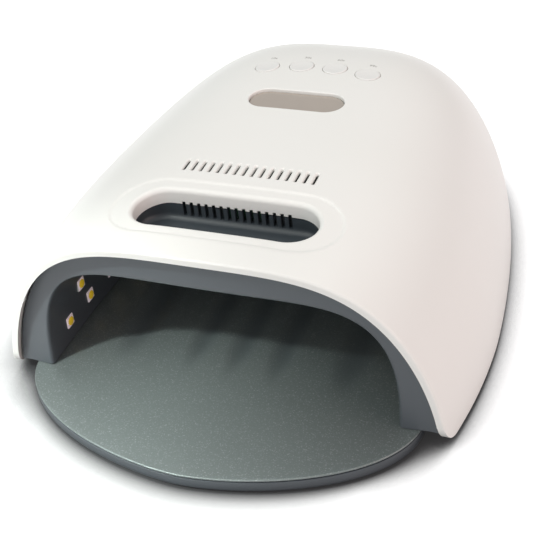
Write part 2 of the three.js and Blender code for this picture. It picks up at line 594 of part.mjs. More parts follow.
// ---- handle tub: the dark pocket below the grip opening --------------------------------------
{
  const wide = GRIP.halfLength;
  const flangeFoot = LINER.front + LINER.thick;
  const flangeTop = shellTop(0, flangeFoot, SHELL.wall + GAP);
  const flangeBack = flangeFoot + linerLean(wide + TUB.wall, flangeFoot, flangeTop);
  const frontY = Math.max(GRIP.y - GRIP.halfWidth - TUB.under, flangeBack + GAP + TUB.wall);
  const bottom = tubFloor - TUB.floor;
  const outer = wide + TUB.wall;
  const outside = box(-outer, outer, frontY - TUB.wall, gripRear + TUB.wall, bottom, OUT);
  const inside = box(-wide, wide, frontY, gripRear, tubFloor, OUT);
  const teeth = row(COMB.count, COMB.pitch).map((x) => {
    return box(x - COMB.width / 2, x + COMB.width / 2, gripRear - 1, gripRear + 4, combBottom, OUT);
  });
  const belowSkirt = outerSkin.translate([0, 0, -GRIP.skirt - GAP]);
  const skirtRoom = gripHole(GRIP.skirtWall + GAP).subtract(belowSkirt);
  const tub = cut(outside, [inside, skirtRoom, ...teeth]);
  piece("handle_tub", tub.intersect(fitSkin), GRAPHITE);
}

// ---- control board, display and buttons ------------------------------------------------------
{
  const { halfWidth, thick } = BOARD;
  const top = boardTop;
  const slab = box(-halfWidth, halfWidth, boardFront, boardRear, top - thick, top);
  const chips = [CHIP, SOCKET].map((chip) => {
    const front = boardFront + chip.from;
    const under = top - thick;
    const { halfWidth: reach, length, height } = chip;
    return box(-reach, reach, front, front + length, under - height, under + OVERLAP);
  });
  const bores = boardScrews.map(([x, y]) => disc(x, y, top - thick - 1, OUT, BORE, 12));
  piece("control_board", cut(join([slab, ...chips]), bores), LAMINATE);
  boardScrews.forEach(([x, y], i) => {
    const seat = top - thick - GAP;
    const head = disc(x, y, seat - SCREW.headHeight, seat, SCREW.headRadius, 16);
    const shank = disc(x, y, seat - 0.5, seat + SCREW.short, SCREW.radius, 12);
    piece(`board_screw_${i + 1}`, head.add(shank), METAL);
  });

  const lensOutline = stadium(WINDOW.y, WINDOW.halfLength - GAP, WINDOW.halfWidth - GAP);
  const lensTop = outerSkin.translate([0, 0, -WINDOW.recess]);
  const lensBelow = outerSkin.translate([0, 0, -WINDOW.recess - WINDOW.thick]);
  const lens = extruded(lensOutline, LID, OUT, 14).intersect(lensTop).subtract(lensBelow);
  piece("display_lens", lens, SMOKE);
  const lensCorner = shellTop(WINDOW.halfLength, WINDOW.y - WINDOW.halfWidth);
  const lensUnder = lensCorner - WINDOW.recess - WINDOW.thick;
  const { halfLength, halfWidth: deep } = DISPLAY;
  const [displayFront, displayBack] = [WINDOW.y - deep, WINDOW.y + deep];
  const display = box(-halfLength, halfLength, displayFront, displayBack, top + GAP, lensUnder - 2 * GAP);
  piece("display_module", display, SMOKE);
}
buttonSpots.forEach(([x, y], i) => {
  const bodyTop = boardTop + GAP + SWITCH.body;
  const switchHalf = SWITCH.half;
  const body = box(x - switchHalf, x + switchHalf, y - switchHalf, y + switchHalf, boardTop + GAP, bodyTop);
  const plunger = disc(x, y, bodyTop - OVERLAP, bodyTop + SWITCH.plunger, SWITCH.plungerRadius, 12);
  piece(`button_switch_${i + 1}`, body.add(plunger), RUBBER);
  const reach = BUTTON.radius + BUTTON.lip;
  const lipTop = shellTop(Math.abs(x) + reach, y + reach, SHELL.wall) - GAP;
  const crown = outerSkin.translate([0, 0, BUTTON.proud]);
  const cap = disc(x, y, lipTop - BUTTON.lipThick, OUT, BUTTON.radius, 24).intersect(crown);
  piece(`button_${i + 1}`, cap.add(disc(x, y, lipTop - BUTTON.lipThick, lipTop, reach, 24)), WHITE);
});

// ---- driver board and power inlet ------------------------------------------------------------
{
  const bottom = frameTop + DRIVER.standOff;
  const slab = box(-DRIVER.halfWidth, DRIVER.halfWidth, driverFront, driverRear, bottom, driverTop);
  const base = driverTop - OVERLAP;
  const { left, right, height } = REGULATOR;
  const [coilFront, coilBack] = [driverFront + COIL.front, driverFront + COIL.back];
  const parts = [
    box(COIL.left, COIL.right, coilFront, coilBack, base, driverTop + COIL.height),
    ...CAPACITOR.xs.map((x) => {
      return disc(x, driverFront + CAPACITOR.from, base, driverTop + CAPACITOR.height, CAPACITOR.radius, 16);
    }),
    box(left, right, driverRear - REGULATOR.front, driverRear - REGULATOR.back, base, driverTop + height),
  ];
  piece("driver_board", join([slab, ...parts]), LAMINATE);
  const { size, body, collar, bore, pin, boreDepth } = JACK;
  const [front, mouth] = [jackFront, jackMouth];
  const block = box(-size / 2, size / 2, front, front + body, jackZ - size / 2, jackZ + size / 2);
  const barrel = rodY(0, front + body - 1, mouth, jackZ, collar);
  const well = rodY(0, mouth - boreDepth, mouth + 2, jackZ, bore, 16);
  const pinRod = rodY(0, mouth - boreDepth - 1, mouth - 1, jackZ, pin, 8);
  piece("power_inlet", join([cut(block.add(barrel), [well]), pinRod]), RUBBER);
}

// ---- origin: the middle of the footprint, on the table ---------------------------------------
const middle = (TRAY.widestAt - TRAY.nose + SHELL.rear) / 2;
for (const mesh of part.children) mesh.geometry.translate(0, -middle, 0);

export default part;
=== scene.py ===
import math
import bpy
import bmesh
import numpy as np
from mathutils import Matrix, Vector


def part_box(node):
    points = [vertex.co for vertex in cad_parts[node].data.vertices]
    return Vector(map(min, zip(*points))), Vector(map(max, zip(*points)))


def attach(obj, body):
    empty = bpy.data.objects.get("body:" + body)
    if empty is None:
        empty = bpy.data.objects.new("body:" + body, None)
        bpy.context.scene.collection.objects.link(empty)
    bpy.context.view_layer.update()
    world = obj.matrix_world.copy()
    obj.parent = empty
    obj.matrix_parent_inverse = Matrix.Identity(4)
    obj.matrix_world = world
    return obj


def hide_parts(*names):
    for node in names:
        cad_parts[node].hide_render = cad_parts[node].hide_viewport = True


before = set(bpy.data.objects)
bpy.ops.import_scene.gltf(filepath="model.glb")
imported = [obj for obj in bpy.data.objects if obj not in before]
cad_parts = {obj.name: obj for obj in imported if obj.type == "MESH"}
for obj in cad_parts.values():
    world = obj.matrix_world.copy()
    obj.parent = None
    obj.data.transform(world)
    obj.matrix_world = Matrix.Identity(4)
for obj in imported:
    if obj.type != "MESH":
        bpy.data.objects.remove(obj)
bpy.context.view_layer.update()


# ---- camera --------------------------------------------------------------------------------------
# A long lens looking down into the mouth from the front right, rolled a little anticlockwise. All
# lengths in this script are millimetres, measured from the middle of the shell's front edge, on the
# table.
MM = 0.001
TRAY_NOSE_Y = -39.2
FRONT_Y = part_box("tray_plate")[0].y / MM - TRAY_NOSE_Y


def placed(points):
    """Millimetres behind the shell's front edge to metres in the frame."""
    points = np.asarray(points, float)
    return (points + np.array([0.0, FRONT_Y, 0.0])) * MM


CAMERA = {"azimuth": 24.073, "elevation": 36.633, "roll": -6.88, "distance": 483.834, "lens": 77.855}
AIM = (8.531, 51.472, 41.933)

turn, rise, roll = (math.radians(CAMERA[k]) for k in ("azimuth", "elevation", "roll"))
back = Vector((math.sin(turn) * math.cos(rise), -math.cos(turn) * math.cos(rise), math.sin(rise)))
level = Vector((math.cos(turn), math.sin(turn), 0))
upright = back.cross(level)
right = level * math.cos(roll) + upright * math.sin(roll)
up = upright * math.cos(roll) - level * math.sin(roll)
camera = bpy.data.objects.new("camera", bpy.data.cameras.new("camera"))
camera.data.lens = CAMERA["lens"]
camera.data.sensor_width = 36
camera.data.clip_end = 20
spot = Vector(placed(AIM)) + back * CAMERA["distance"] * MM
camera.matrix_world = Matrix.Translation(spot) @ Matrix((right, up, back)).transposed().to_4x4()
bpy.context.scene.collection.objects.link(camera)
bpy.context.scene.camera = camera


# ---- outer shell ---------------------------------------------------------------------------------
# One injection-moulded ABS dome, open below and at the mouth, with the grip opening, vent slots,
# display window and button holes in its crown. It is fixed to the frame below by four screws in bosses.
# The plastic is off-white with a satin spark-eroded skin, so highlights spread wide and soft.
HALF_WIDTH = 103.0
HEIGHT = 76.2
SHELL_WALL = 3.0
SHELL_BOTTOM = 4.0
TAIL_Y = 225.0
WIDEST_Y = 66.0
FALL_Y = 110.0
SIDE_EXPONENT = 4.04
SIDE_TAPER = 0.375
TOP_EXPONENT = 1.538
ACROSS_FALL = (1.538, 5)
UP_FALL = (4.56, 2.7)
PINCH = {"length": 60, "across": 6.4, "down": 0.55}
FOOT_RADIUS = 9.0
SHELL_FRONT = 3.7
SHELL_BOW = 0.8
BOW_LENGTH = 40


def half_width(y, inset=0.0):
    share = np.clip((y - WIDEST_Y) / (TAIL_Y - inset - WIDEST_Y), 0, 1)
    ahead = np.clip((WIDEST_Y - y) / PINCH["length"], 0, None)
    power, root = ACROSS_FALL
    return (HALF_WIDTH - inset) * (1 - share**power) ** (1 / root) - PINCH["across"] * ahead**2


def crown_height(y, inset=0.0):
    share = np.clip((y - FALL_Y) / (TAIL_Y - inset - FALL_Y), 0, 1)
    ahead = np.clip((FALL_Y - y) / PINCH["length"], 0, None)
    power, root = UP_FALL
    return (HEIGHT - inset) * (1 - share**power) ** (1 / root) - PINCH["down"] * ahead**2


def side_exponent(y):
    return SIDE_EXPONENT - SIDE_TAPER * np.clip(y / 100, 0, 2)


def even_angles(count, side, top, width, height):
    """Angles that space points evenly along a superelliptic arch."""
    fine = np.linspace(0, math.pi, 20001)
    x = width * np.sign(np.cos(fine)) * np.abs(np.cos(fine)) ** (2 / side)
    z = height * np.clip(np.sin(fine), 0, 1) ** (2 / top)
    run = np.concatenate([[0], np.cumsum(np.hypot(np.diff(x), np.diff(z)))])
    return np.interp(np.linspace(0, run[-1], count), run, fine)


SHELL_ANGLES = even_angles(220, SIDE_EXPONENT, TOP_EXPONENT, HALF_WIDTH, HEIGHT)


def arch(angles, width, height, side, top, base):
    x = width * np.sign(np.cos(angles)) * np.abs(np.cos(angles)) ** (2 / side)
    z = height * np.clip(np.sin(angles), 0, 1) ** (2 / top) + base
    return x, z


def shell_bow(x, y):
    """How far the front edge stands back towards the feet."""
    return SHELL_BOW * (x / HALF_WIDTH) ** 2 * np.clip(1 - y / BOW_LENGTH, 0, 1)


def shell_ring(y, inset=0.0):
    width, height = half_width(y, inset), crown_height(y, inset)
    x, z = arch(SHELL_ANGLES, width, height, side_exponent(y), TOP_EXPONENT, SHELL_BOTTOM)
    return np.stack([x, y + shell_bow(x, y), z], axis=1)


def shell_top(x, y):
    """Height of the shell's crown."""
    share = np.clip(np.abs(x) / half_width(y), 0, 1)
    return SHELL_BOTTOM + crown_height(y) * (1 - share ** side_exponent(y)) ** (1 / TOP_EXPONENT)


def slot_distance(x, y, middle, half_length, half_width_):
    """Distance outside a slot outline with round ends, lying along X."""
    along = np.clip(np.abs(x) - (half_length - half_width_), 0, None)
    return np.hypot(along, y - middle) - half_width_


def smooth(low, high, value):
    t = np.clip((value - low) / (high - low), 0, 1)
    return t * t * (3 - 2 * t)


GRIP = {"y": 35.64, "half_length": 41.2, "half_width": 13.9, "skirt": 7.24, "lip": 2.2}
SHELF = {"half_length": 49.2, "half_width": 18.6, "depth": 0.5}


def shelf_drop(x, y):
    """The faint step down round the grip opening."""
    out = slot_distance(x, y, GRIP["y"], SHELF["half_length"], SHELF["half_width"])
    return SHELF["depth"] * (1 - smooth(-1.3, 0.3, out))


def skin(x, y, z):
    """Zero on the shell's outer skin."""
    y = y - shell_bow(x, y)
    rise_ = np.clip((z + shelf_drop(x, y) - SHELL_BOTTOM) / crown_height(y), 0, None)
    return np.abs(x / half_width(y)) ** side_exponent(y) + rise_**TOP_EXPONENT - 1


def mesh_object(name, vertices, faces, body=None):
    mesh = bpy.data.meshes.new(name)
    mesh.from_pydata(placed(vertices).tolist(), [], faces)
    work = bmesh.new()
    work.from_mesh(mesh)
    bmesh.ops.recalc_face_normals(work, faces=work.faces)
    work.to_mesh(mesh)
    work.free()
    piece = bpy.data.objects.new(name, mesh)
    bpy.context.scene.collection.objects.link(piece)
    if body:
        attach(piece, body)
    return piece


def grid_faces(rows, columns, wrap=False):
    faces = []
    last = columns if wrap else columns - 1
    for j in range(rows - 1):
        for i in range(last):
            k = (i + 1) % columns
            faces.append((j * columns + i, (j + 1) * columns + i, (j + 1) * columns + k, j * columns + k))
    return faces


def arch_solid(name, rings):
    """A solid under open arches: closed by a level floor, by its first arch and by its last."""
    rings = np.asarray(rings)
    rows, columns = rings.shape[:2]
    faces = grid_faces(rows, columns)
    for j in range(rows - 1):
        a, b = j * columns, (j + 1) * columns
        faces.append((a, a + columns - 1, b + columns - 1, b))
    for start in (0, (rows - 1) * columns):
        for i in range(columns // 2 - 1):
            j = columns - 1 - i
            faces.append((start + i, start + i + 1, start + j - 1, start + j))
    return mesh_object(name, rings.reshape(-1, 3), faces)


def loop_solid(name, rings, body=None):
    """A solid through closed rings, capped at its first and last."""
    rings = np.asarray(rings)
    rows, columns = rings.shape[:2]
    faces = grid_faces(rows, columns, wrap=True)
    faces.append(tuple(range(columns)))
    faces.append(tuple((rows - 1) * columns + i for i in range(columns)))
    return mesh_object(name, rings.reshape(-1, 3), faces, body)


def joined(name, pieces):
    work = bmesh.new()
    for piece in pieces:
        work.from_mesh(piece.data)
        bpy.data.objects.remove(piece)
    mesh = bpy.data.meshes.new(name)
    work.to_mesh(mesh)
    work.free()
    whole = bpy.data.objects.new(name, mesh)
    bpy.context.scene.collection.objects.link(whole)
    return whole


def boolean(piece, tool, operation="DIFFERENCE"):
    modifier = piece.modifiers.new("cut", "BOOLEAN")
    modifier.operation = operation
    modifier.solver = "MANIFOLD"
    modifier.object = tool
    seen = piece.evaluated_get(bpy.context.evaluated_depsgraph_get())
    mesh = bpy.data.meshes.new_from_object(seen)
    piece.modifiers.clear()
    piece.data = mesh
    bpy.data.objects.remove(tool)


def slot_outline(middle, half_length, half_width_, grow=0.0, count=24):
    """Points round a slot with round ends, lying along X."""
    straight = half_length - half_width_
    radius = half_width_ + grow
    angle = np.linspace(-math.pi / 2, math.pi / 2, count)
    ends = [np.stack([straight + radius * np.cos(angle), middle + radius * np.sin(angle)], axis=1)]
    ends.append(np.stack([-straight - radius * np.cos(angle), middle - radius * np.sin(angle)], axis=1))
    side = np.linspace(1, -1, 34)[1:-1, None] * straight
    rear = np.concatenate([side, np.full_like(side, middle + radius)], axis=1)
    near = np.concatenate([-side, np.full_like(side, middle - radius)], axis=1)
    return np.concatenate([ends[0], rear, ends[1], near]) if straight > 0.5 else np.concatenate(ends)


def opening(name, outline, lip, depth):
    """A cutter for a hole through the crown: outline(grow) gives its edge, and lip rolls the edge over."""
    rings = []
    far = 1.25 * lip
    for grow, drop in ((lip * 0.8 + far, -6.0), (lip * 0.8 + far, -far * 0.2)):
        edge = outline(grow)
        rings.append(np.column_stack([edge, shell_top(edge[:, 0], edge[:, 1]) - drop]))
    for theta in np.radians(np.linspace(78, 0, 9)):
        edge = outline(lip * (1 - math.cos(theta)))
        drop = lip * (1 - math.sin(theta)) + shelf_drop(edge[:, 0], edge[:, 1])
        rings.append(np.column_stack([edge, shell_top(edge[:, 0], edge[:, 1]) - drop]))
    edge = outline(0)
    rings.append(np.column_stack([edge, shell_top(edge[:, 0], edge[:, 1]) - depth]))
    return loop_solid(name, rings)


front_rows = [(0.0, inset) for inset in (6.5, 4.5, 3.2, 2.2, 1.4)]
front_rows += [(1.0 - math.cos(t), 1.0 - math.sin(t)) for t in np.radians((0, 18, 36, 54, 72))]
shell_rings = [shell_ring(SHELL_FRONT + y, inset) for y, inset in front_rows]
tail = 150 + (TAIL_Y - 150) * np.sin(np.linspace(0, math.pi / 2, 64))
shell_ys = np.concatenate([np.arange(SHELL_FRONT + 1.0, 149, 1.25), tail[:-1], [TAIL_Y - 0.008]])
shell_rings += [shell_ring(y) for y in shell_ys]
for ring in shell_rings:
    ring[:, 2] -= shelf_drop(ring[:, 0], ring[:, 1]) * (ring[:, 2] > 50)
outer_shell = arch_solid("outer_shell_moulding", shell_rings)

inner_ys = np.concatenate([[-20.0], np.linspace(0, 150, 40), tail[1::3] * (TAIL_Y - SHELL_WALL) / TAIL_Y])
inner_rings = [shell_ring(y, SHELL_WALL) for y in inner_ys if y < TAIL_Y - SHELL_WALL - 0.02]
for ring in inner_rings:
    ring[0, 2] = ring[-1, 2] = SHELL_BOTTOM - 3
hollow = arch_solid("hollow", inner_rings)

grip_wall = GRIP["lip"]


def grip_outline(grow):
    inner_length = GRIP["half_length"] - grip_wall
    return slot_outline(GRIP["y"], inner_length, GRIP["half_width"] - grip_wall, grow)


skirt_rings = []
for drop in (1.6, GRIP["skirt"] - 0.4, GRIP["skirt"]):
    edge = grip_outline(2.2 if drop < GRIP["skirt"] else 1.8)
    skirt_rings.append(np.column_stack([edge, shell_top(edge[:, 0], edge[:, 1]) - drop]))
boolean(outer_shell, hollow)
boolean(outer_shell, loop_solid("skirt", skirt_rings), "UNION")

WINDOW = {"y": 124.86, "half_length": 22.95, "half_width": 8.88, "lip": 0.6}
BUTTON = {"y": 157.74, "pitch": 16.47, "arc": 2.8, "hole": 6.0, "radius": 5.8, "lip": 0.3}
VENT = {"count": 16, "pitch": 3.79, "middle": 65.25, "half_length": 3.75, "half_width": 0.5, "lip": 1.05}
COMB = {"count": 15, "pitch": 3.3, "width": 1.55, "notch": 1.0}
button_xs = [(i - 1.5) * BUTTON["pitch"] for i in range(4)]
button_spots = [(x, BUTTON["y"] - BUTTON["arc"] * (x / (1.5 * BUTTON["pitch"])) ** 2) for x in button_xs]


def window_outline(grow):
    lip = WINDOW["lip"]
    return slot_outline(WINDOW["y"], WINDOW["half_length"] - lip, WINDOW["half_width"] - lip, grow)


def round_outline(x, y, radius):
    angle = np.linspace(0, 2 * math.pi, 48, endpoint=False)
    return lambda grow: np.stack(
        [x + (radius + grow) * np.cos(angle), y + (radius + grow) * np.sin(angle)], axis=1
    )


def vent_outline(x):
    def outline(grow):
        edge = slot_outline(0, VENT["half_length"], VENT["half_width"], grow, 10)
        return np.stack([x + edge[:, 1], VENT["middle"] + edge[:, 0]], axis=1)

    return outline


def block(low, high):
    """A plain cutter between two corners."""
    (x0, y0, z0), (x1, y1, z1) = low, high
    rings = [[(x0, y0, z), (x1, y0, z), (x1, y1, z), (x0, y1, z)] for z in (z0, z1)]
    return loop_solid("block", rings)


cutters = [opening("grip", grip_outline, GRIP["lip"], GRIP["skirt"] + 4)]
cutters.append(opening("window", window_outline, WINDOW["lip"], 6))
cutters += [opening("hole", round_outline(x, y, BUTTON["hole"]), BUTTON["lip"], 7) for x, y in button_spots]
vent_xs = [(i - (VENT["count"] - 1) / 2) * VENT["pitch"] for i in range(VENT["count"])]
cutters += [opening("vent", vent_outline(x), VENT["lip"], 6) for x in vent_xs]
relief = float(shell_top(0, VENT["middle"])) - 1.6
boolean(outer_shell, block((-31.5, VENT["middle"] - 5.0, 70.0), (31.5, VENT["middle"] + 5.0, relief)))
boolean(outer_shell, joined("openings", cutters))

comb_xs = [(i - (COMB["count"] - 1) / 2) * COMB["pitch"] for i in range(COMB["count"])]
comb_y = GRIP["y"] + GRIP["half_width"] - grip_wall
skirt_foot = float(shell_top(0, GRIP["y"])) - GRIP["skirt"]
teeth = []
for x in comb_xs:
    low = (x - COMB["width"] / 2, comb_y - 1.5, skirt_foot - 3)
    high = (x + COMB["width"] / 2, comb_y + 5, skirt_foot + COMB["notch"])
    teeth.append(block(low, high))
swing = np.radians(np.linspace(180, 270, 14))
corner_y = SHELL_FRONT + SHELL_BOW + FOOT_RADIUS + FOOT_RADIUS * np.cos(swing)
corner_z = SHELL_BOTTOM + FOOT_RADIUS + FOOT_RADIUS * np.sin(swing)
for side in (-1, 1):
    profile = [(-9.0, corner_z[0]), *zip(corner_y, corner_z), (corner_y[-1], -6.0), (-9.0, -6.0)]
    teeth.append(loop_solid("toe", [[(x * side, y, z) for y, z in profile] for x in (82.0, 118.0)]))
inlet_low, inlet_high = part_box("power_inlet")
inlet_z = (inlet_low.z + inlet_high.z) / 2 / MM
angle = np.linspace(0, 2 * math.pi, 40, endpoint=False)
INLET_HOLE = 4.25
inlet_ring = np.stack([np.cos(angle), np.zeros(40), np.sin(angle)], axis=1) * INLET_HOLE
inlet_ring[:, 2] += inlet_z
teeth.append(loop_solid("inlet_hole", [inlet_ring + np.array([0, y, 0]) for y in (TAIL_Y - 8, TAIL_Y + 4)]))
boolean(outer_shell, joined("notches", teeth))


def shade(piece, angle_=32):
    piece.data.shade_smooth()
    piece.data.set_sharp_from_angle(angle=math.radians(angle_))


def true_normals(piece, surface, within=0.97):
    """Give the faces on a known surface that surface's own normals, where both nearly agree already."""
    mesh = piece.data
    points = np.empty(len(mesh.vertices) * 3)
    mesh.vertices.foreach_get("co", points)
    points = points.reshape(-1, 3) / MM - np.array([0.0, FRONT_Y, 0.0])
    step = 0.02
    slope = []
    for axis in np.eye(3) * step:
        slope.append(surface(*(points + axis).T) - surface(*(points - axis).T))
    slope = np.stack(slope, axis=1)
    slope /= np.linalg.norm(slope, axis=1, keepdims=True) + 1e-12
    near = np.abs(surface(*points.T)) < 2e-3
    corner = np.empty(len(mesh.loops), np.int32)
    mesh.loops.foreach_get("vertex_index", corner)
    face_normal = np.empty(len(mesh.polygons) * 3)
    mesh.polygons.foreach_get("normal", face_normal)
    totals = np.empty(len(mesh.polygons), np.int32)
    mesh.polygons.foreach_get("loop_total", totals)
    own = np.repeat(face_normal.reshape(-1, 3), totals, axis=0)
    wanted = slope[corner]
    good = near[corner] & ((own * wanted).sum(axis=1) > within)
    wanted[~good] = 0
    mesh.normals_split_custom_set(wanted.tolist())


shade(outer_shell)
true_normals(outer_shell, skin)


def linear(hexcode):
    """An sRGB hex colour as linear RGBA."""
    parts = [int(hexcode[i : i + 2], 16) / 255 for i in (1, 3, 5)]
    return [p / 12.92 if p <= 0.04045 else ((p + 0.055) / 1.055) ** 2.4 for p in parts] + [1.0]


def add(material, kind, links=None, **settings):
    """Add a shader node, set its sockets or properties, and link its inputs."""
    tree = material.node_tree
    made = tree.nodes.new(kind)
    for key, value in settings.items():
        if hasattr(made, key):
            setattr(made, key, value)
        else:
            made.inputs[key.replace("_", " ")].default_value = value
    for socket, source in (links or {}).items():
        tree.links.new(source, made.inputs[socket])
    return made


def new_material(name, **settings):
    """A material with one Principled shader, its constants set on its own sockets."""
    material = bpy.data.materials.new(name)
    material.use_nodes = True
    shader = material.node_tree.nodes["Principled BSDF"]
    for key, value in settings.items():
        shader.inputs[key.replace("_", " ")].default_value = value
    return material, shader, add(material, "ShaderNodeTexCoord").outputs["Object"]


def link(material, source, target):
    material.node_tree.links.new(source, target)


def dress(piece, material):
    piece.data.materials.clear()
    piece.data.materials.append(material)


def moulded(name, colour, tint, roughness, spread, grain_mm, height_mm, ior=1.53):
    """Moulded plastic: a faint cloud of colour from the melt, an eroded grain, and gloss that varies."""
    material, shader, place = new_material(name, IOR=ior)
    cloud = add(material, "ShaderNodeTexNoise", {"Vector": place}, Scale=1 / (60 * MM), Detail=3.0)
    mix = add(material, "ShaderNodeMix", {0: cloud.outputs["Fac"]}, data_type="RGBA")
    mix.inputs[6].default_value = linear(colour)
    mix.inputs[7].default_value = linear(tint)
    link(material, mix.outputs[2], shader.inputs["Base Color"])
    grain = add(material, "ShaderNodeTexNoise", {"Vector": place}, Scale=1 / (grain_mm * MM), Detail=4.0)
    gloss = add(material, "ShaderNodeMapRange", {"Value": grain.outputs["Fac"]})
    gloss.inputs["From Min"].default_value = 0.3
    gloss.inputs["From Max"].default_value = 0.7
    gloss.inputs["To Min"].default_value = roughness - spread
    gloss.inputs["To Max"].default_value = roughness + spread
    link(material, gloss.outputs["Result"], shader.inputs["Roughness"])
    bump = add(material, "ShaderNodeBump", {"Height": grain.outputs["Fac"]}, Distance=height_mm * MM)
    bump.inputs["Strength"].default_value = 1.0
    link(material, bump.outputs["Normal"], shader.inputs["Normal"])
    return material


# Off-white ABS from a spark-eroded mould: the grain is drawn at 0.5 mm, twice its real size, so that it
# shows.
white_abs = moulded("white_abs_satin", "#EFEDE9", "#EBE9E4", 0.34, 0.04, 0.5, 0.006)
dress(outer_shell, white_abs)
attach(outer_shell, "lamp")
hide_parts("outer_shell")


# ---- inner liner ---------------------------------------------------------------------------------
# A dark ABS moulding that fills the mouth: a flange that faces forward, and the curing chamber behind
# it with square windows for the LEDs. It clips in behind the shell's front edge, and its feet turn down
# beside the tray.
CHAMBER = {"half_width": 76.6, "height": 52.4, "depth": 160.0, "side": 5.59, "top": 2.78}
LINER = {"front": 2.8, "lean": 0.09, "bow": 4.44, "straightens": 60, "thick": 2.0, "gap": 0.35}
LINER_EDGE = 0.6
LINER_MOUTH = 1.6
SHELL_AT_LINER = 3.0
TRAY_TOP = 8.0
TRAY_EDGE = 86.0
LINER_ANGLES = even_angles(200, 4.6, 2.0, 90, 65)


def liner_ring(blend, y, shrink_across=1.0, shrink_up=1.0):
    """A ring between the shell's inner edge (0) and the chamber's mouth (1), stood back like the flange."""
    inset_ = SHELL_WALL + LINER["gap"]
    outer_wide = half_width(SHELL_AT_LINER, inset_)
    outer_tall = crown_height(SHELL_AT_LINER, inset_)
    x0, z0 = arch(LINER_ANGLES, outer_wide, outer_tall, SIDE_EXPONENT, TOP_EXPONENT, 0)
    wide, tall = CHAMBER["half_width"] * shrink_across, CHAMBER["height"] * shrink_up
    x1, z1 = arch(LINER_ANGLES, wide, tall, CHAMBER["side"], CHAMBER["top"], 0)
    x = x0 * (1 - blend) + x1 * blend
    z = z0 * (1 - blend) + z1 * blend
    edge_x = abs(x[0])
    stand_foot = LINER["front"] + LINER["bow"] * (edge_x / HALF_WIDTH) ** 2
    toe = max(SHELL_FRONT + SHELL_BOW + FOOT_RADIUS - stand_foot, 0)
    rounded = SHELL_BOTTOM + FOOT_RADIUS - math.sqrt(max(FOOT_RADIUS**2 - toe**2, 0)) + 0.3
    beside = TRAY_TOP + 0.35 - rounded
    foot = rounded + beside * float(smooth(94.5, TRAY_EDGE, edge_x))
    crown = (SHELL_BOTTOM + z0.max()) * (1 - blend) + (TRAY_TOP + z1.max()) * blend
    z = foot + z / z.max() * (crown - foot)
    fade = np.clip(1 - (y - LINER["front"]) / LINER["straightens"], 0, 1)
    stand = (LINER["lean"] * z + LINER["bow"] * (x / HALF_WIDTH) ** 2) * fade
    return np.stack([x, y + stand, z], axis=1)


liner_rings = []
edge_r, mouth_r = LINER_EDGE, LINER_MOUTH
flange_wide = half_width(SHELL_AT_LINER) - SHELL_WALL - CHAMBER["half_width"]
liner_rings.append(liner_ring(0.0, LINER["front"] + 3.0))
for t in np.radians((0, 30, 60, 90)):
    blend = edge_r * (1 - math.cos(t)) / flange_wide
    liner_rings.append(liner_ring(blend, LINER["front"] + edge_r * (1 - math.sin(t))))
flange_blends = np.linspace(edge_r * 1.6 / flange_wide, 1 - mouth_r * 1.2 / flange_wide, 22)
liner_rings += [liner_ring(blend, LINER["front"]) for blend in flange_blends]
for t in np.radians(np.linspace(0, 90, 9)):
    blend = 1 - mouth_r * (1 - math.sin(t)) / flange_wide
    liner_rings.append(liner_ring(blend, LINER["front"] + mouth_r * (1 - math.cos(t))))
span = CHAMBER["depth"] - LINER["front"] - mouth_r


def chamber_fall(share):
    """How far the chamber has closed in, across and up, at a share of its depth."""
    across = (1 - share**3) ** (1 / 3.5)
    upward = (1 - share**4) ** (1 / 2.6)
    return across, upward


back_shares = 0.7 + 0.3 * np.sin(np.linspace(0.04, math.pi / 2, 40))
for share in np.concatenate([np.linspace(0.02, 0.7, 40), back_shares]):
    share = min(share, 0.9998)
    liner_rings.append(liner_ring(1.0, LINER["front"] + mouth_r + span * share, *chamber_fall(share)))
rows, columns = len(liner_rings), len(LINER_ANGLES)
liner_faces = grid_faces(rows, columns)
for i in range(columns // 2 - 1):
    start = (rows - 1) * columns
    liner_faces.append((start + i, start + i + 1, start + columns - 2 - i, start + columns - 1 - i))
inner_liner = mesh_object("inner_liner_moulding", np.concatenate(liner_rings), [])
inner_liner.data.clear_geometry()
inner_liner.data.from_pydata(placed(np.concatenate(liner_rings)).tolist(), [], liner_faces)
thicken = inner_liner.modifiers.new("wall", "SOLIDIFY")
thicken.thickness = LINER["thick"] * MM
thicken.offset = 1
seen = inner_liner.evaluated_get(bpy.context.evaluated_depsgraph_get())
inner_liner.data = bpy.data.meshes.new_from_object(seen)
inner_liner.modifiers.clear()

LED = {"size": 5.4, "room": 0.45}
SIDE_LEDS = [(y, 18.0) for y in (24.5, 43.5, 62.5, 81.5)] + [(y, 29.5) for y in (37.0, 56.0, 75.0)]
TOP_LEDS = [(x, y) for y in (71.0, 90.0) for x in (-42.0, -15.0, 15.0, 42.0)]
reach = LED["size"] / 2 + LED["room"]
windows = []
for side in (-1, 1):
    for y, z in SIDE_LEDS:
        windows.append(block((side * 77 - 7, y - reach, z - reach), (side * 77 + 7, y + reach, z + reach)))
for x, y in TOP_LEDS:
    windows.append(block((x - reach, y - reach, 50), (x + reach, y + reach, 70)))
boolean(inner_liner, joined("led_windows", windows))
shade(inner_liner)
# Graphite ABS, satin: blue-grey where light reaches it and nearly black inside.
graphite_abs = moulded("graphite_abs_satin", "#4F5459", "#4A4F54", 0.4, 0.05, 0.45, 0.008)
dress(inner_liner, graphite_abs)
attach(inner_liner, "lamp")
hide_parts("inner_liner")


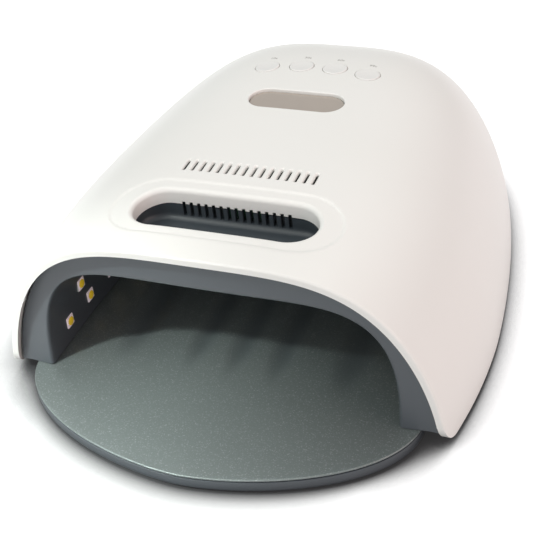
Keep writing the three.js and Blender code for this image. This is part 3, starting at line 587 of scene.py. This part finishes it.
# ---- base tray -----------------------------------------------------------------------------------
# A removable tray in two graphite mouldings: a lower dish, and a plate over it with five finger
# hollows. The thin gap between them shows as a line round the edge. The mould's coarse grain sparkles
# under the light.
TRAY = {"half_width": 85.5, "widest": 12.8, "nose": 52.0, "taper": 110.0, "rear": 170.0}
PLATE = {"thick": 2.5, "gap": 0.5, "underside": 1.3, "edge": 0.35, "brim": 0.9, "rim": 2.5}
HOLLOWS = [(-49.0, 10.5), (-18.6, 7.4), (0.0, 7.4), (18.6, 7.4), (49.0, 10.5)]
HOLLOW = {"depth": 1.5, "start": 14.0, "end": 104.0, "soft": 26.0}
OUTLINE_POINTS = 420
UNDER_EDGE = 0.25
DISH_RADIUS = 1.6
HOLLOW_SHADE_DEPTH = 2.0


def tray_outline(grow, count):
    t = np.linspace(0, 2 * math.pi, count, endpoint=False)
    c, s = np.cos(t), np.sin(t)
    front = s < 0
    half, nose = TRAY["half_width"] + grow, TRAY["nose"] + grow
    tail_ = TRAY["rear"] - TRAY["taper"] + grow
    power = np.where(front, 2 / 1.66, 2 / 3)
    x = half * np.sign(c) * np.abs(c) ** power
    y_front = TRAY["widest"] - nose * np.abs(s) ** (2 / 2.09)
    y_rear = TRAY["taper"] + tail_ * np.abs(s) ** (2 / 3)
    return np.stack([x, np.where(front, y_front, y_rear)], axis=1)


def even_outline(grow):
    """The same outline with its points evenly spaced."""
    edge = tray_outline(grow, 4000)
    loop = np.concatenate([edge, edge[:1]])
    run = np.concatenate([[0], np.cumsum(np.hypot(*np.diff(loop, axis=0).T))])
    at = np.linspace(0, run[-1], OUTLINE_POINTS, endpoint=False)
    return np.stack([np.interp(at, run, loop[:, 0]), np.interp(at, run, loop[:, 1])], axis=1)


def hollow_depth(x, y):
    deep = np.zeros_like(x)
    start, end, soft = HOLLOW["start"], HOLLOW["end"], HOLLOW["soft"]
    for middle, radius in HOLLOWS:
        ends = smooth(start, start + soft, y) * (1 - smooth(end - soft, end, y))
        far = np.clip(np.abs(x - middle) / (radius * (0.55 + 0.45 * ends)), 0, 1)
        deep += HOLLOW["depth"] * ends * 0.5 * (1 + np.cos(math.pi * far))
    return deep


heart = np.array([0.0, 62.0])
plate_bottom = TRAY_TOP - PLATE["thick"]
rings = []
brim_bottom = TRAY_TOP - PLATE["brim"]
inset = -PLATE["rim"] - PLATE["gap"]
for grow, height in ((inset - 1, plate_bottom), (inset, plate_bottom + 0.3), (inset, brim_bottom)):
    rings.append(np.column_stack([even_outline(grow), np.full(OUTLINE_POINTS, height)]))
for t in np.radians((-90, -45, 0)):
    edge = even_outline(UNDER_EDGE * (math.cos(t) - 1))
    height = brim_bottom + UNDER_EDGE * (1 + math.sin(t))
    rings.append(np.column_stack([edge, np.full(OUTLINE_POINTS, height)]))
for t in np.radians(np.linspace(0, 90, 7)):
    edge = even_outline(PLATE["edge"] * (math.cos(t) - 1))
    height = TRAY_TOP - PLATE["edge"] * (1 - math.sin(t))
    rings.append(np.column_stack([edge, np.full(OUTLINE_POINTS, height)]))
rim_edge = even_outline(-PLATE["edge"])
for share in np.linspace(0.992, 0.012, 130):
    edge = heart + (rim_edge - heart) * share
    rings.append(np.column_stack([edge, TRAY_TOP - hollow_depth(edge[:, 0], edge[:, 1])]))
tray_plate = loop_solid("tray_plate_moulding", rings, "base_tray")
flat = np.concatenate(rings)
# Painted shade: the finger hollows are marked darker the deeper they are, in full from this depth down.
variation = tray_plate.data.attributes.new("hollow_shade", "FLOAT", "POINT")
hollow_shade_amount = np.clip(hollow_depth(flat[:, 0], flat[:, 1]) / HOLLOW_SHADE_DEPTH, 0, 1)
variation.data.foreach_set("value", hollow_shade_amount * (flat[:, 2] > plate_bottom + 0.5))
shade(tray_plate, 50)

dish_top = brim_bottom - PLATE["gap"]
rib_top = plate_bottom - PLATE["gap"]
under = PLATE["underside"]
profile = [(-6.0, rib_top), (-PLATE["rim"], rib_top), (-PLATE["rim"], dish_top), (-0.7, dish_top)]
profile += [(-0.3, dish_top - 0.05), (-0.1, dish_top - 0.15), (0.0, dish_top - 0.4)]
profile += [(0.0, under + DISH_RADIUS)]
for t in np.radians((22, 45, 68, 90)):
    profile.append((DISH_RADIUS * (math.cos(t) - 1), under + DISH_RADIUS * (1 - math.sin(t))))
profile += [(-6.0, under)]
dish_rings = [np.column_stack([even_outline(grow), np.full(OUTLINE_POINTS, z)]) for grow, z in profile]
tray_base = loop_solid("tray_base_moulding", dish_rings, "base_tray")
shade(tray_base, 40)

# Coarse spark-eroded ABS, matt: the grain is 0.6 mm, and its facets catch the light as sparkle.
tray_abs = moulded("graphite_abs_grained", "#7C8483", "#757C7B", 0.42, 0.12, 0.75, 0.05)
shader = tray_abs.node_tree.nodes["Principled BSDF"]
shader.inputs["Metallic"].default_value = 0.5
place = add(tray_abs, "ShaderNodeTexCoord").outputs["Object"]
flakes = add(tray_abs, "ShaderNodeTexNoise", {"Vector": place}, Scale=1 / (0.6 * MM), Detail=2.0)
fleck = add(tray_abs, "ShaderNodeMapRange", {"Value": flakes.outputs["Fac"]})
fleck.inputs["From Min"].default_value = 0.56
fleck.inputs["From Max"].default_value = 0.74
fleck.inputs["To Max"].default_value = 0.7
base = shader.inputs["Base Color"].links[0].from_socket
sparkle = add(tray_abs, "ShaderNodeMix", {0: fleck.outputs["Result"]}, data_type="RGBA")
link(tray_abs, base, sparkle.inputs[6])
sparkle.inputs[7].default_value = linear("#A9B0AF")
# Painted shade in the finger hollows: there the grained colour gives way to a plain darker grey without
# sparkle.
hollow_shade_node = add(tray_abs, "ShaderNodeAttribute", attribute_name="hollow_shade")
layers = {0: hollow_shade_node.outputs["Fac"], 6: sparkle.outputs[2]}
hollow_shaded = add(tray_abs, "ShaderNodeMix", layers, data_type="RGBA")
hollow_shaded.inputs[7].default_value = linear("#666D70")
link(tray_abs, hollow_shaded.outputs[2], shader.inputs["Base Color"])
dress(tray_plate, tray_abs)
edge_abs = moulded("graphite_abs_edge", "#41464B", "#3D4247", 0.38, 0.05, 0.5, 0.01)
dress(tray_base, edge_abs)
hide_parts("tray_plate")
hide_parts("tray_base")


# ---- handle tub ----------------------------------------------------------------------------------
# The pocket below the grip opening: a dark ABS tub under the shell, whose back wall is a comb of vent
# slots. Fingers go down through the opening and curl forward under the bar.
TUB = {"floor": 64.6, "wall": 2.0, "bottom": 62.9, "fillet": 3.0, "back_corner": 11.3, "front_corner": 5.0}
tub_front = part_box("handle_tub")[0].y / MM - FRONT_Y + TUB["wall"]
tub_back = comb_y + 0.1
tub_half = GRIP["half_length"] - 1.4


def tub_outline(grow):
    """Rounded at the back like the opening, and squarer under the bar."""
    turn_ = np.linspace(0, math.pi / 2, 14)
    points = []
    for sx, sy in ((1, 1), (-1, 1), (-1, -1), (1, -1)):
        radius = (TUB["back_corner"] if sy > 0 else TUB["front_corner"]) + grow
        sweep = turn_ if sx == sy else turn_[::-1]
        cx = sx * (tub_half + grow - radius)
        cy = tub_back + grow - radius if sy > 0 else tub_front - grow + radius
        points.append(np.stack([cx + sx * radius * np.cos(sweep), cy + sy * radius * np.sin(sweep)], axis=1))
    return np.concatenate(points)


def tub_ring(grow, z, follow=False):
    edge = tub_outline(grow)
    tops = shell_top(edge[:, 0], edge[:, 1]) - SHELL_WALL - 0.4
    skirted = slot_distance(edge[:, 0], edge[:, 1], GRIP["y"], GRIP["half_length"], GRIP["half_width"])
    limit = np.where(skirted < 1.8, tops + SHELL_WALL - GRIP["skirt"] + 0.1, tops)
    return np.column_stack([edge, limit if follow else np.full(len(edge), z)])


tub_rings = [
    tub_ring(TUB["wall"], 0, follow=True),
    tub_ring(TUB["wall"], TUB["bottom"] + 2),
    tub_ring(TUB["wall"] - 2, TUB["bottom"]),
]
tub = loop_solid("handle_tub_moulding", tub_rings)
inside_rings = []
for t in np.radians(np.linspace(90, 0, 7)):
    fillet = TUB["fillet"]
    inside_rings.append(tub_ring(-fillet * (1 - math.cos(t)), TUB["floor"] + fillet * (1 - math.sin(t))))
inside_rings.append(tub_ring(0.0, 90.0))
boolean(tub, loop_solid("tub_inside", inside_rings))
comb_foot = TUB["floor"] + 1.8
slots = []
for x in comb_xs:
    low = (x - COMB["width"] / 2, comb_y - 1.0, comb_foot)
    slots.append(block(low, (x + COMB["width"] / 2, comb_y + 4, 90.0)))
boolean(tub, joined("comb", slots))
shade(tub)
dress(tub, moulded("graphite_abs_tub", "#3D444A", "#383F44", 0.42, 0.05, 0.45, 0.008))
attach(tub, "lamp")
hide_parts("handle_tub")


# ---- display lens and module ---------------------------------------------------------------------
# A tinted acrylic lens, flame-polished and bonded into the window a millimetre or so below the crown. The
# display under it is a potted segment block that stays dark when it is off.
LENS = {"recess": 1.4, "thick": 2.0, "clear": 0.25, "edge": 0.25}
lens_middle = np.array([0.0, WINDOW["y"]])
lens_rings = []
lens_edge, lens_thick = LENS["edge"], LENS["thick"]
for grow, drop in ((-2 * lens_edge, lens_thick), (0, lens_thick), (0, lens_edge), (-lens_edge, 0)):
    edge = window_outline(grow - LENS["clear"])
    top = shell_top(edge[:, 0], edge[:, 1]) - LENS["recess"]
    lens_rings.append(np.column_stack([edge, top - drop]))
for share in (0.8, 0.5, 0.2):
    edge = lens_middle + (lens_rings[3][:, :2] - lens_middle) * share
    lens_rings.append(np.column_stack([edge, shell_top(edge[:, 0], edge[:, 1]) - LENS["recess"]]))
lens = loop_solid("display_lens_acrylic", lens_rings, "lamp")
shade(lens)
# Smoked acrylic over a dark block: taupe grey, glossy, with a clear polished coat.
acrylic, shader, place = new_material(
    "smoked_acrylic_polished", IOR=1.49, Coat_Weight=0.6, Coat_Roughness=0.05
)
haze = add(acrylic, "ShaderNodeTexNoise", {"Vector": place}, Scale=1 / (14 * MM), Detail=2.0)
mix = add(acrylic, "ShaderNodeMix", {0: haze.outputs["Fac"]}, data_type="RGBA")
mix.inputs[6].default_value = linear("#AFA499")
mix.inputs[7].default_value = linear("#A69B91")
link(acrylic, mix.outputs[2], shader.inputs["Base Color"])
variation = add(acrylic, "ShaderNodeMapRange", {"Value": haze.outputs["Fac"]})
variation.inputs["To Min"].default_value = 0.16
variation.inputs["To Max"].default_value = 0.24
link(acrylic, variation.outputs["Result"], shader.inputs["Roughness"])
dress(lens, acrylic)
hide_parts("display_lens")
potting = moulded("segment_block_potting", "#3A3735", "#33302E", 0.5, 0.05, 0.4, 0.01)
dress(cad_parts["display_module"], potting)


# ---- push buttons --------------------------------------------------------------------------------
# Four round ABS caps in the shell's colour, each with a soft edge and a finger dish that can just be felt.
# A collar below the shell keeps them in, and a tact switch on the control board pushes them back.
BUTTON_CAP = {"proud": 0.3, "edge": 0.55, "dish": 0.35, "collar": 1.1}
button_abs = moulded("white_abs_buttons", "#EBE9E6", "#E7E5E1", 0.3, 0.03, 0.5, 0.004)
switch_nylon = moulded("black_nylon_switch", "#1B1B1D", "#232325", 0.42, 0.06, 0.3, 0.01)
for number, (x, y) in enumerate(button_spots, start=1):
    collar_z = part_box(f"button_{number}")[0].z / MM
    outline = round_outline(x, y, BUTTON["radius"])
    collar = outline(BUTTON_CAP["collar"])
    rings = [np.column_stack([collar, np.full(48, z)]) for z in (collar_z, collar_z + 1.0)]
    rings.append(np.column_stack([outline(0), np.full(48, collar_z + 1.02)]))
    radius = BUTTON_CAP["edge"]
    for t in np.radians(np.linspace(0, 90, 7)):
        edge = outline(-radius * (1 - math.cos(t)))
        top = shell_top(edge[:, 0], edge[:, 1]) + BUTTON_CAP["proud"]
        rings.append(np.column_stack([edge, top - radius * (1 - math.sin(t))]))
    inner = BUTTON["radius"] - radius
    for share in (0.85, 0.65, 0.45, 0.25, 0.08):
        edge = outline(inner * share - BUTTON["radius"])
        dish = BUTTON_CAP["dish"] * (1 - share**2)
        rings.append(np.column_stack([edge, shell_top(edge[:, 0], edge[:, 1]) + BUTTON_CAP["proud"] - dish]))
    cap = loop_solid(f"button_cap_{number}", rings, f"button_{number}")
    shade(cap)
    dress(cap, button_abs)
    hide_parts(f"button_{number}")
    dress(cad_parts[f"button_switch_{number}"], switch_nylon)


# ---- button numerals -----------------------------------------------------------------------------
# Plain numbers pad-printed in grey behind the buttons, a few hundredths of a millimetre thick: seconds
# of light.
NUMERAL = {"height": 2.6, "behind": 9.6, "thick": 0.04}
ink = moulded("grey_pad_print_ink", "#A7A49F", "#A09D98", 0.5, 0.03, 0.4, 0.002)
for number, ((x, y), words) in enumerate(zip(button_spots, ("10s", "30s", "60s", "99s")), start=1):
    text = bpy.data.curves.new("numeral", "FONT")
    text.body = words
    text.size = NUMERAL["height"] * MM
    text.align_x = "CENTER"
    text.align_y = "CENTER"
    text.resolution_u = 6
    holder = bpy.data.objects.new("numeral", text)
    bpy.context.scene.collection.objects.link(holder)
    flat = bpy.data.meshes.new_from_object(holder.evaluated_get(bpy.context.evaluated_depsgraph_get()))
    bpy.data.objects.remove(holder)
    spot_y = y + NUMERAL["behind"]
    label = bpy.data.objects.new(f"button_numeral_{number}", flat)
    bpy.context.scene.collection.objects.link(label)
    work = bmesh.new()
    work.from_mesh(flat)
    bmesh.ops.remove_doubles(work, verts=work.verts, dist=1e-6)
    bmesh.ops.triangulate(work, faces=work.faces)
    bmesh.ops.subdivide_edges(work, edges=work.edges, cuts=1)
    lifted = bmesh.ops.extrude_face_region(work, geom=work.faces[:])
    raised = {v for v in lifted["geom"] if isinstance(v, bmesh.types.BMVert)}
    for vertex in work.verts:
        px, py = vertex.co.x / MM + x, vertex.co.y / MM + spot_y
        pz = float(shell_top(px, py)) + (NUMERAL["thick"] if vertex in raised else -0.05)
        vertex.co = Vector(placed((px, py, pz)))
    bmesh.ops.recalc_face_normals(work, faces=work.faces)
    work.to_mesh(flat)
    work.free()
    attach(label, "lamp")
    dress(label, ink)


# ---- LED boards ----------------------------------------------------------------------------------
# White-masked aluminium boards behind the chamber walls. Each LED is a square white package with a cup,
# yellow phosphor in it and a clear dome. It looks out through its own window.
mask = moulded("white_solder_mask", "#D9DAD6", "#D0D1CD", 0.4, 0.08, 1.2, 0.01)
package = moulded("led_package_ceramic", "#F4E6EA", "#F0DFE4", 0.4, 0.04, 0.5, 0.004)
phosphor = moulded("led_phosphor_silicone", "#D8B92E", "#C7A320", 0.35, 0.06, 0.5, 0.01)
# The packages and phosphor carry a faint painted glow, so they show bright in the dark chamber.
for lit, tone, strength in ((package, "#FFE9EE", 0.14), (phosphor, "#FFD83C", 0.26)):
    shader = lit.node_tree.nodes["Principled BSDF"]
    shader.inputs["Emission Color"].default_value = linear(tone)
    shader.inputs["Emission Strength"].default_value = strength
dome, shader, place = new_material("led_dome_silicone", IOR=1.41, Transmission_Weight=1.0)
ripple = add(dome, "ShaderNodeTexNoise", {"Vector": place}, Scale=1 / (3 * MM), Detail=2.0)
clear = add(dome, "ShaderNodeMapRange", {"Value": ripple.outputs["Fac"]})
clear.inputs["To Min"].default_value = 0.03
clear.inputs["To Max"].default_value = 0.09
link(dome, clear.outputs["Result"], shader.inputs["Roughness"])


def led(name, base, facing, across, lift):
    """One LED package: base is the middle of its front face, facing its outward direction."""
    facing, across = np.asarray(facing, float), np.asarray(across, float)
    upward = np.cross(facing, across)
    half = LED["size"] / 2

    def ring(radius, squareness, out, count=40):
        t = np.linspace(0, 2 * math.pi, count, endpoint=False) + math.pi / count
        c, s = np.cos(t), np.sin(t)
        power = 2 / squareness
        u = radius * np.sign(c) * np.abs(c) ** power
        v = radius * np.sign(s) * np.abs(s) ** power
        return np.asarray(base) + np.outer(u, across) + np.outer(v, upward) + facing * out

    body = [ring(half, 14, -lift), ring(half, 14, -0.3), ring(half - 0.3, 12, 0)]
    body += [ring(2.1, 2, 0), ring(1.9, 2, -0.15)]
    parts = [(loop_solid(name + "_package", body, "lamp"), package)]
    chip = [ring(1.8, 3, -0.2), ring(1.8, 3, 0.1), ring(1.4, 3, 0.3), ring(0.4, 3, 0.38)]
    parts.append((loop_solid(name + "_phosphor", chip, "lamp"), phosphor))
    bubble = [ring(2.05, 2, 0.02)]
    for a in np.radians((8, 20, 34, 48, 62, 76, 86)):
        bubble.append(ring(2.05 * math.cos(a), 2, 0.02 + 0.8 * math.sin(a)))
    parts.append((loop_solid(name + "_dome", bubble, "lamp"), dome))
    for part, material in parts:
        shade(part)
        dress(part, material)
    return [part for part, _ in parts]


def chamber_wall(y, z):
    across, upward = chamber_fall(np.clip((y - LINER["front"] - LINER_MOUTH) / span, 0, 1))
    high = (z - TRAY_TOP) / (CHAMBER["height"] * upward)
    return CHAMBER["half_width"] * across * (1 - high ** CHAMBER["top"]) ** (1 / CHAMBER["side"])


for side, word in ((-1, "left"), (1, "right")):
    for number, (y, z) in enumerate(SIDE_LEDS, start=1):
        wall = float(chamber_wall(y, z + 1))
        led(f"led_{word}_{number}", (side * (wall - 0.5), y, z), (-side, 0, 0), (0, 1, 0), 2.2)
for number, (x, y) in enumerate(TOP_LEDS, start=1):
    across, upward = chamber_fall((y - LINER["front"] - LINER_MOUTH) / span)
    beside = abs(x) / (CHAMBER["half_width"] * across)
    roof = CHAMBER["height"] * upward * (1 - beside ** CHAMBER["side"]) ** (1 / CHAMBER["top"])
    led(f"led_top_{number}", (x, y, TRAY_TOP + roof - 0.5), (0, 0, -1), (1, 0, 0), 2.2)
for name in ("led_board_left", "led_board_right", "led_board_top"):
    dress(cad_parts[name], mask)


# ---- circuit boards, metal parts and rubber feet -------------------------------------------------
# Bought-in parts inside and below: green boards, zinc-plated screws, nickel-plated magnets and discs,
# extruded heat sinks, and soft black feet pressed into their seats.
green = moulded("green_solder_mask", "#1F5A3C", "#194C33", 0.38, 0.08, 1.5, 0.01)
for name in ("control_board", "driver_board", "hand_sensor"):
    dress(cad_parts[name], green)


def metal(name, colour, roughness, streak):
    """Plated or drawn metal, with fine streaks along it."""
    material, shader_, place_ = new_material(name, Metallic=1.0)
    shader_.inputs["Base Color"].default_value = linear(colour)
    stretch = add(material, "ShaderNodeMapping", {"Vector": place_}, Scale=streak)
    along = stretch.outputs["Vector"]
    lines = add(material, "ShaderNodeTexNoise", {"Vector": along}, Scale=1 / (0.6 * MM), Detail=3.0)
    gloss = add(material, "ShaderNodeMapRange", {"Value": lines.outputs["Fac"]})
    gloss.inputs["To Min"].default_value = roughness - 0.1
    gloss.inputs["To Max"].default_value = roughness + 0.12
    link(material, gloss.outputs["Result"], shader_.inputs["Roughness"])
    bump = add(material, "ShaderNodeBump", {"Height": lines.outputs["Fac"]}, Distance=0.01 * MM)
    link(material, bump.outputs["Normal"], shader_.inputs["Normal"])
    return material


zinc = metal("zinc_plated_steel", "#C9CACC", 0.34, (1, 1, 1))
nickel = metal("nickel_plated_steel", "#CFCCC6", 0.2, (1, 1, 1))
drawn = metal("extruded_aluminium", "#C9CBCE", 0.36, (1, 0.08, 1))
rubber = moulded("black_foot_rubber", "#242527", "#2A2B2D", 0.72, 0.08, 0.6, 0.03, 1.52)
for name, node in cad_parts.items():
    if name.startswith(("board_screw", "frame_screw")):
        dress(node, zinc)
    elif name.startswith(("keeper_disc", "tray_magnet")):
        dress(node, nickel)
    elif name.startswith("heat_sink"):
        dress(node, drawn)
    elif name.startswith(("lamp_foot", "tray_foot")):
        dress(node, rubber)


# ---- bottom frame and power inlet ----------------------------------------------------------------
# The frame is a flat graphite moulding that closes the shell round the tray, held by four screws. The
# inlet is a black nylon barrel socket, 5.5 mm, that looks out through the middle of the tail.
frame_abs = moulded("graphite_abs_frame", "#43494E", "#3D4348", 0.5, 0.08, 0.7, 0.03)
inlet_nylon = moulded("black_nylon_inlet", "#18191B", "#202124", 0.36, 0.05, 0.4, 0.01)
dress(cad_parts["bottom_frame"], frame_abs)
dress(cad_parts["power_inlet"], inlet_nylon)


# ---- studio --------------------------------------------------------------------------------------
# A pale floor that runs to white for the camera and keeps the lamp's own soft shadow, with a painted contact
# shadow round the lamp and the tray drawn into its colour and glow from ambient occlusion; a big soft key
# from the upper left, a warm fill from the right and an even sky.
FLOOR_REACH = 4000
SHADOW_REACH = 38
floor_corners = [(x * FLOOR_REACH, y * FLOOR_REACH, 0) for x, y in ((-1, -1), (1, -1), (1, 1), (-1, 1))]
floor = mesh_object("studio_floor", floor_corners, [(0, 1, 2, 3)])
paper, shader, _ = new_material("pale_paper_floor", Roughness=0.9)
ambient = add(paper, "ShaderNodeAmbientOcclusion", samples=16, Distance=SHADOW_REACH * MM)
contact = add(paper, "ShaderNodeMapRange", {"Value": ambient.outputs["AO"]}, interpolation_type="SMOOTHSTEP")
contact.inputs["From Min"].default_value = 0.4
contact.inputs["From Max"].default_value = 0.84
# Painted shadow: the tray is low, so its contact shadow is also painted along the floor, towards the lamp,
# from occlusion felt sideways.
along = add(paper, "ShaderNodeCombineXYZ", X=0.45, Y=0.85, Z=0.25)
sideways = {"Normal": along.outputs["Vector"]}
low_down = add(paper, "ShaderNodeAmbientOcclusion", sideways, samples=16, Distance=SHADOW_REACH * MM)
open_air = {"Value": low_down.outputs["AO"]}
near_tray = add(paper, "ShaderNodeMapRange", open_air, interpolation_type="SMOOTHSTEP")
near_tray.inputs["From Min"].default_value = 0.5
near_tray.inputs["From Max"].default_value = 0.97
near_tray.inputs["To Min"].default_value = 0.35
factors = {0: contact.outputs["Result"], 1: near_tray.outputs["Result"]}
both = add(paper, "ShaderNodeMath", factors, operation="MULTIPLY")
# Painted shadow: where the floor is occluded its colour runs dark and its glow for the camera falls away.
shadow = add(paper, "ShaderNodeMix", {0: both.outputs["Value"]}, data_type="RGBA")
shadow.inputs[6].default_value = linear("#3C3C3E")
shadow.inputs[7].default_value = linear("#B4B4B4")
link(paper, shadow.outputs[2], shader.inputs["Base Color"])
shader.inputs["Specular IOR Level"].default_value = 0.1
path = add(paper, "ShaderNodeLightPath")
rays = {0: path.outputs["Is Camera Ray"], 1: path.outputs["Is Glossy Ray"]}
seen_by = add(paper, "ShaderNodeMath", rays, operation="MAXIMUM")
glow = add(paper, "ShaderNodeEmission")
glow.inputs["Color"].default_value = linear("#FFFFFF")
lift = add(paper, "ShaderNodeMapRange", {"Value": both.outputs["Value"]})
lift.inputs["To Min"].default_value = 0.02
lift.inputs["To Max"].default_value = 0.9
link(paper, lift.outputs["Result"], glow.inputs["Strength"])
plain = add(paper, "ShaderNodeEmission")
plain.inputs["Strength"].default_value = 0.0
lights = {0: seen_by.outputs["Value"], 1: plain.outputs["Emission"], 2: glow.outputs["Emission"]}
choose = add(paper, "ShaderNodeMixShader", lights)
total = add(paper, "ShaderNodeAddShader", {0: shader.outputs["BSDF"], 1: choose.outputs["Shader"]})
link(paper, total.outputs["Shader"], paper.node_tree.nodes["Material Output"].inputs["Surface"])
floor.data.materials.append(paper)

world = bpy.data.worlds.new("studio_sky")
bpy.context.scene.world = world
world.use_nodes = True
sky = world.node_tree.nodes["Background"]
sky.inputs["Color"].default_value = linear("#F4F6FA")
sky.inputs["Strength"].default_value = 0.52
direct = world.node_tree.nodes.new("ShaderNodeBackground")
direct.inputs["Color"].default_value = linear("#FFFFFF")
direct.inputs["Strength"].default_value = 1.0
ray = world.node_tree.nodes.new("ShaderNodeLightPath")
pick = world.node_tree.nodes.new("ShaderNodeMixShader")
world.node_tree.links.new(ray.outputs["Is Camera Ray"], pick.inputs[0])
world.node_tree.links.new(sky.outputs["Background"], pick.inputs[1])
world.node_tree.links.new(direct.outputs["Background"], pick.inputs[2])
world.node_tree.links.new(pick.outputs["Shader"], world.node_tree.nodes["World Output"].inputs["Surface"])

SOFTBOXES = [
    ("key", (-0.7, -0.65, 1.1), (0.9, 0.9), 6.0, "#FAFFF8"),
    ("front", (0.1, -1.4, 0.5), (0.8, 0.5), 3.2, "#FDFDFF"),
    ("top", (-0.1, 0.3, 1.5), (1.2, 1.2), 6.6, "#FCFFFA"),
    ("fill", (1.3, -0.3, 0.55), (0.9, 0.9), 5.8, "#FFDCD4"),
]
for name, place_, size, watts, colour in SOFTBOXES:
    lamp = bpy.data.objects.new(name, bpy.data.lights.new(name, "AREA"))
    lamp.data.shape = "RECTANGLE"
    lamp.data.size, lamp.data.size_y = size
    lamp.data.energy = watts
    lamp.data.color = linear(colour)[:3]
    lamp.location = place_
    lamp.rotation_euler = (Vector((0, -0.02, 0.03)) - Vector(place_)).to_track_quat("-Z", "Y").to_euler()
    bpy.context.scene.collection.objects.link(lamp)

# A snooted spot from the front left rakes the tray's near corner.
snoot = bpy.data.objects.new("snoot", bpy.data.lights.new("snoot", "SPOT"))
snoot.data.energy = 118.0
snoot.data.color = linear("#F4FFFA")[:3]
snoot.data.spot_size = math.radians(8.0)
snoot.data.spot_blend = 1.0
snoot.data.shadow_soft_size = 0.07
snoot.location = (-0.4, -0.55, 0.7)
snoot.rotation_euler = (Vector(placed((-50, -38, 8))) - snoot.location).to_track_quat("-Z", "Y").to_euler()
bpy.context.scene.collection.objects.link(snoot)
bpy.context.scene.view_settings.view_transform = "Standard"
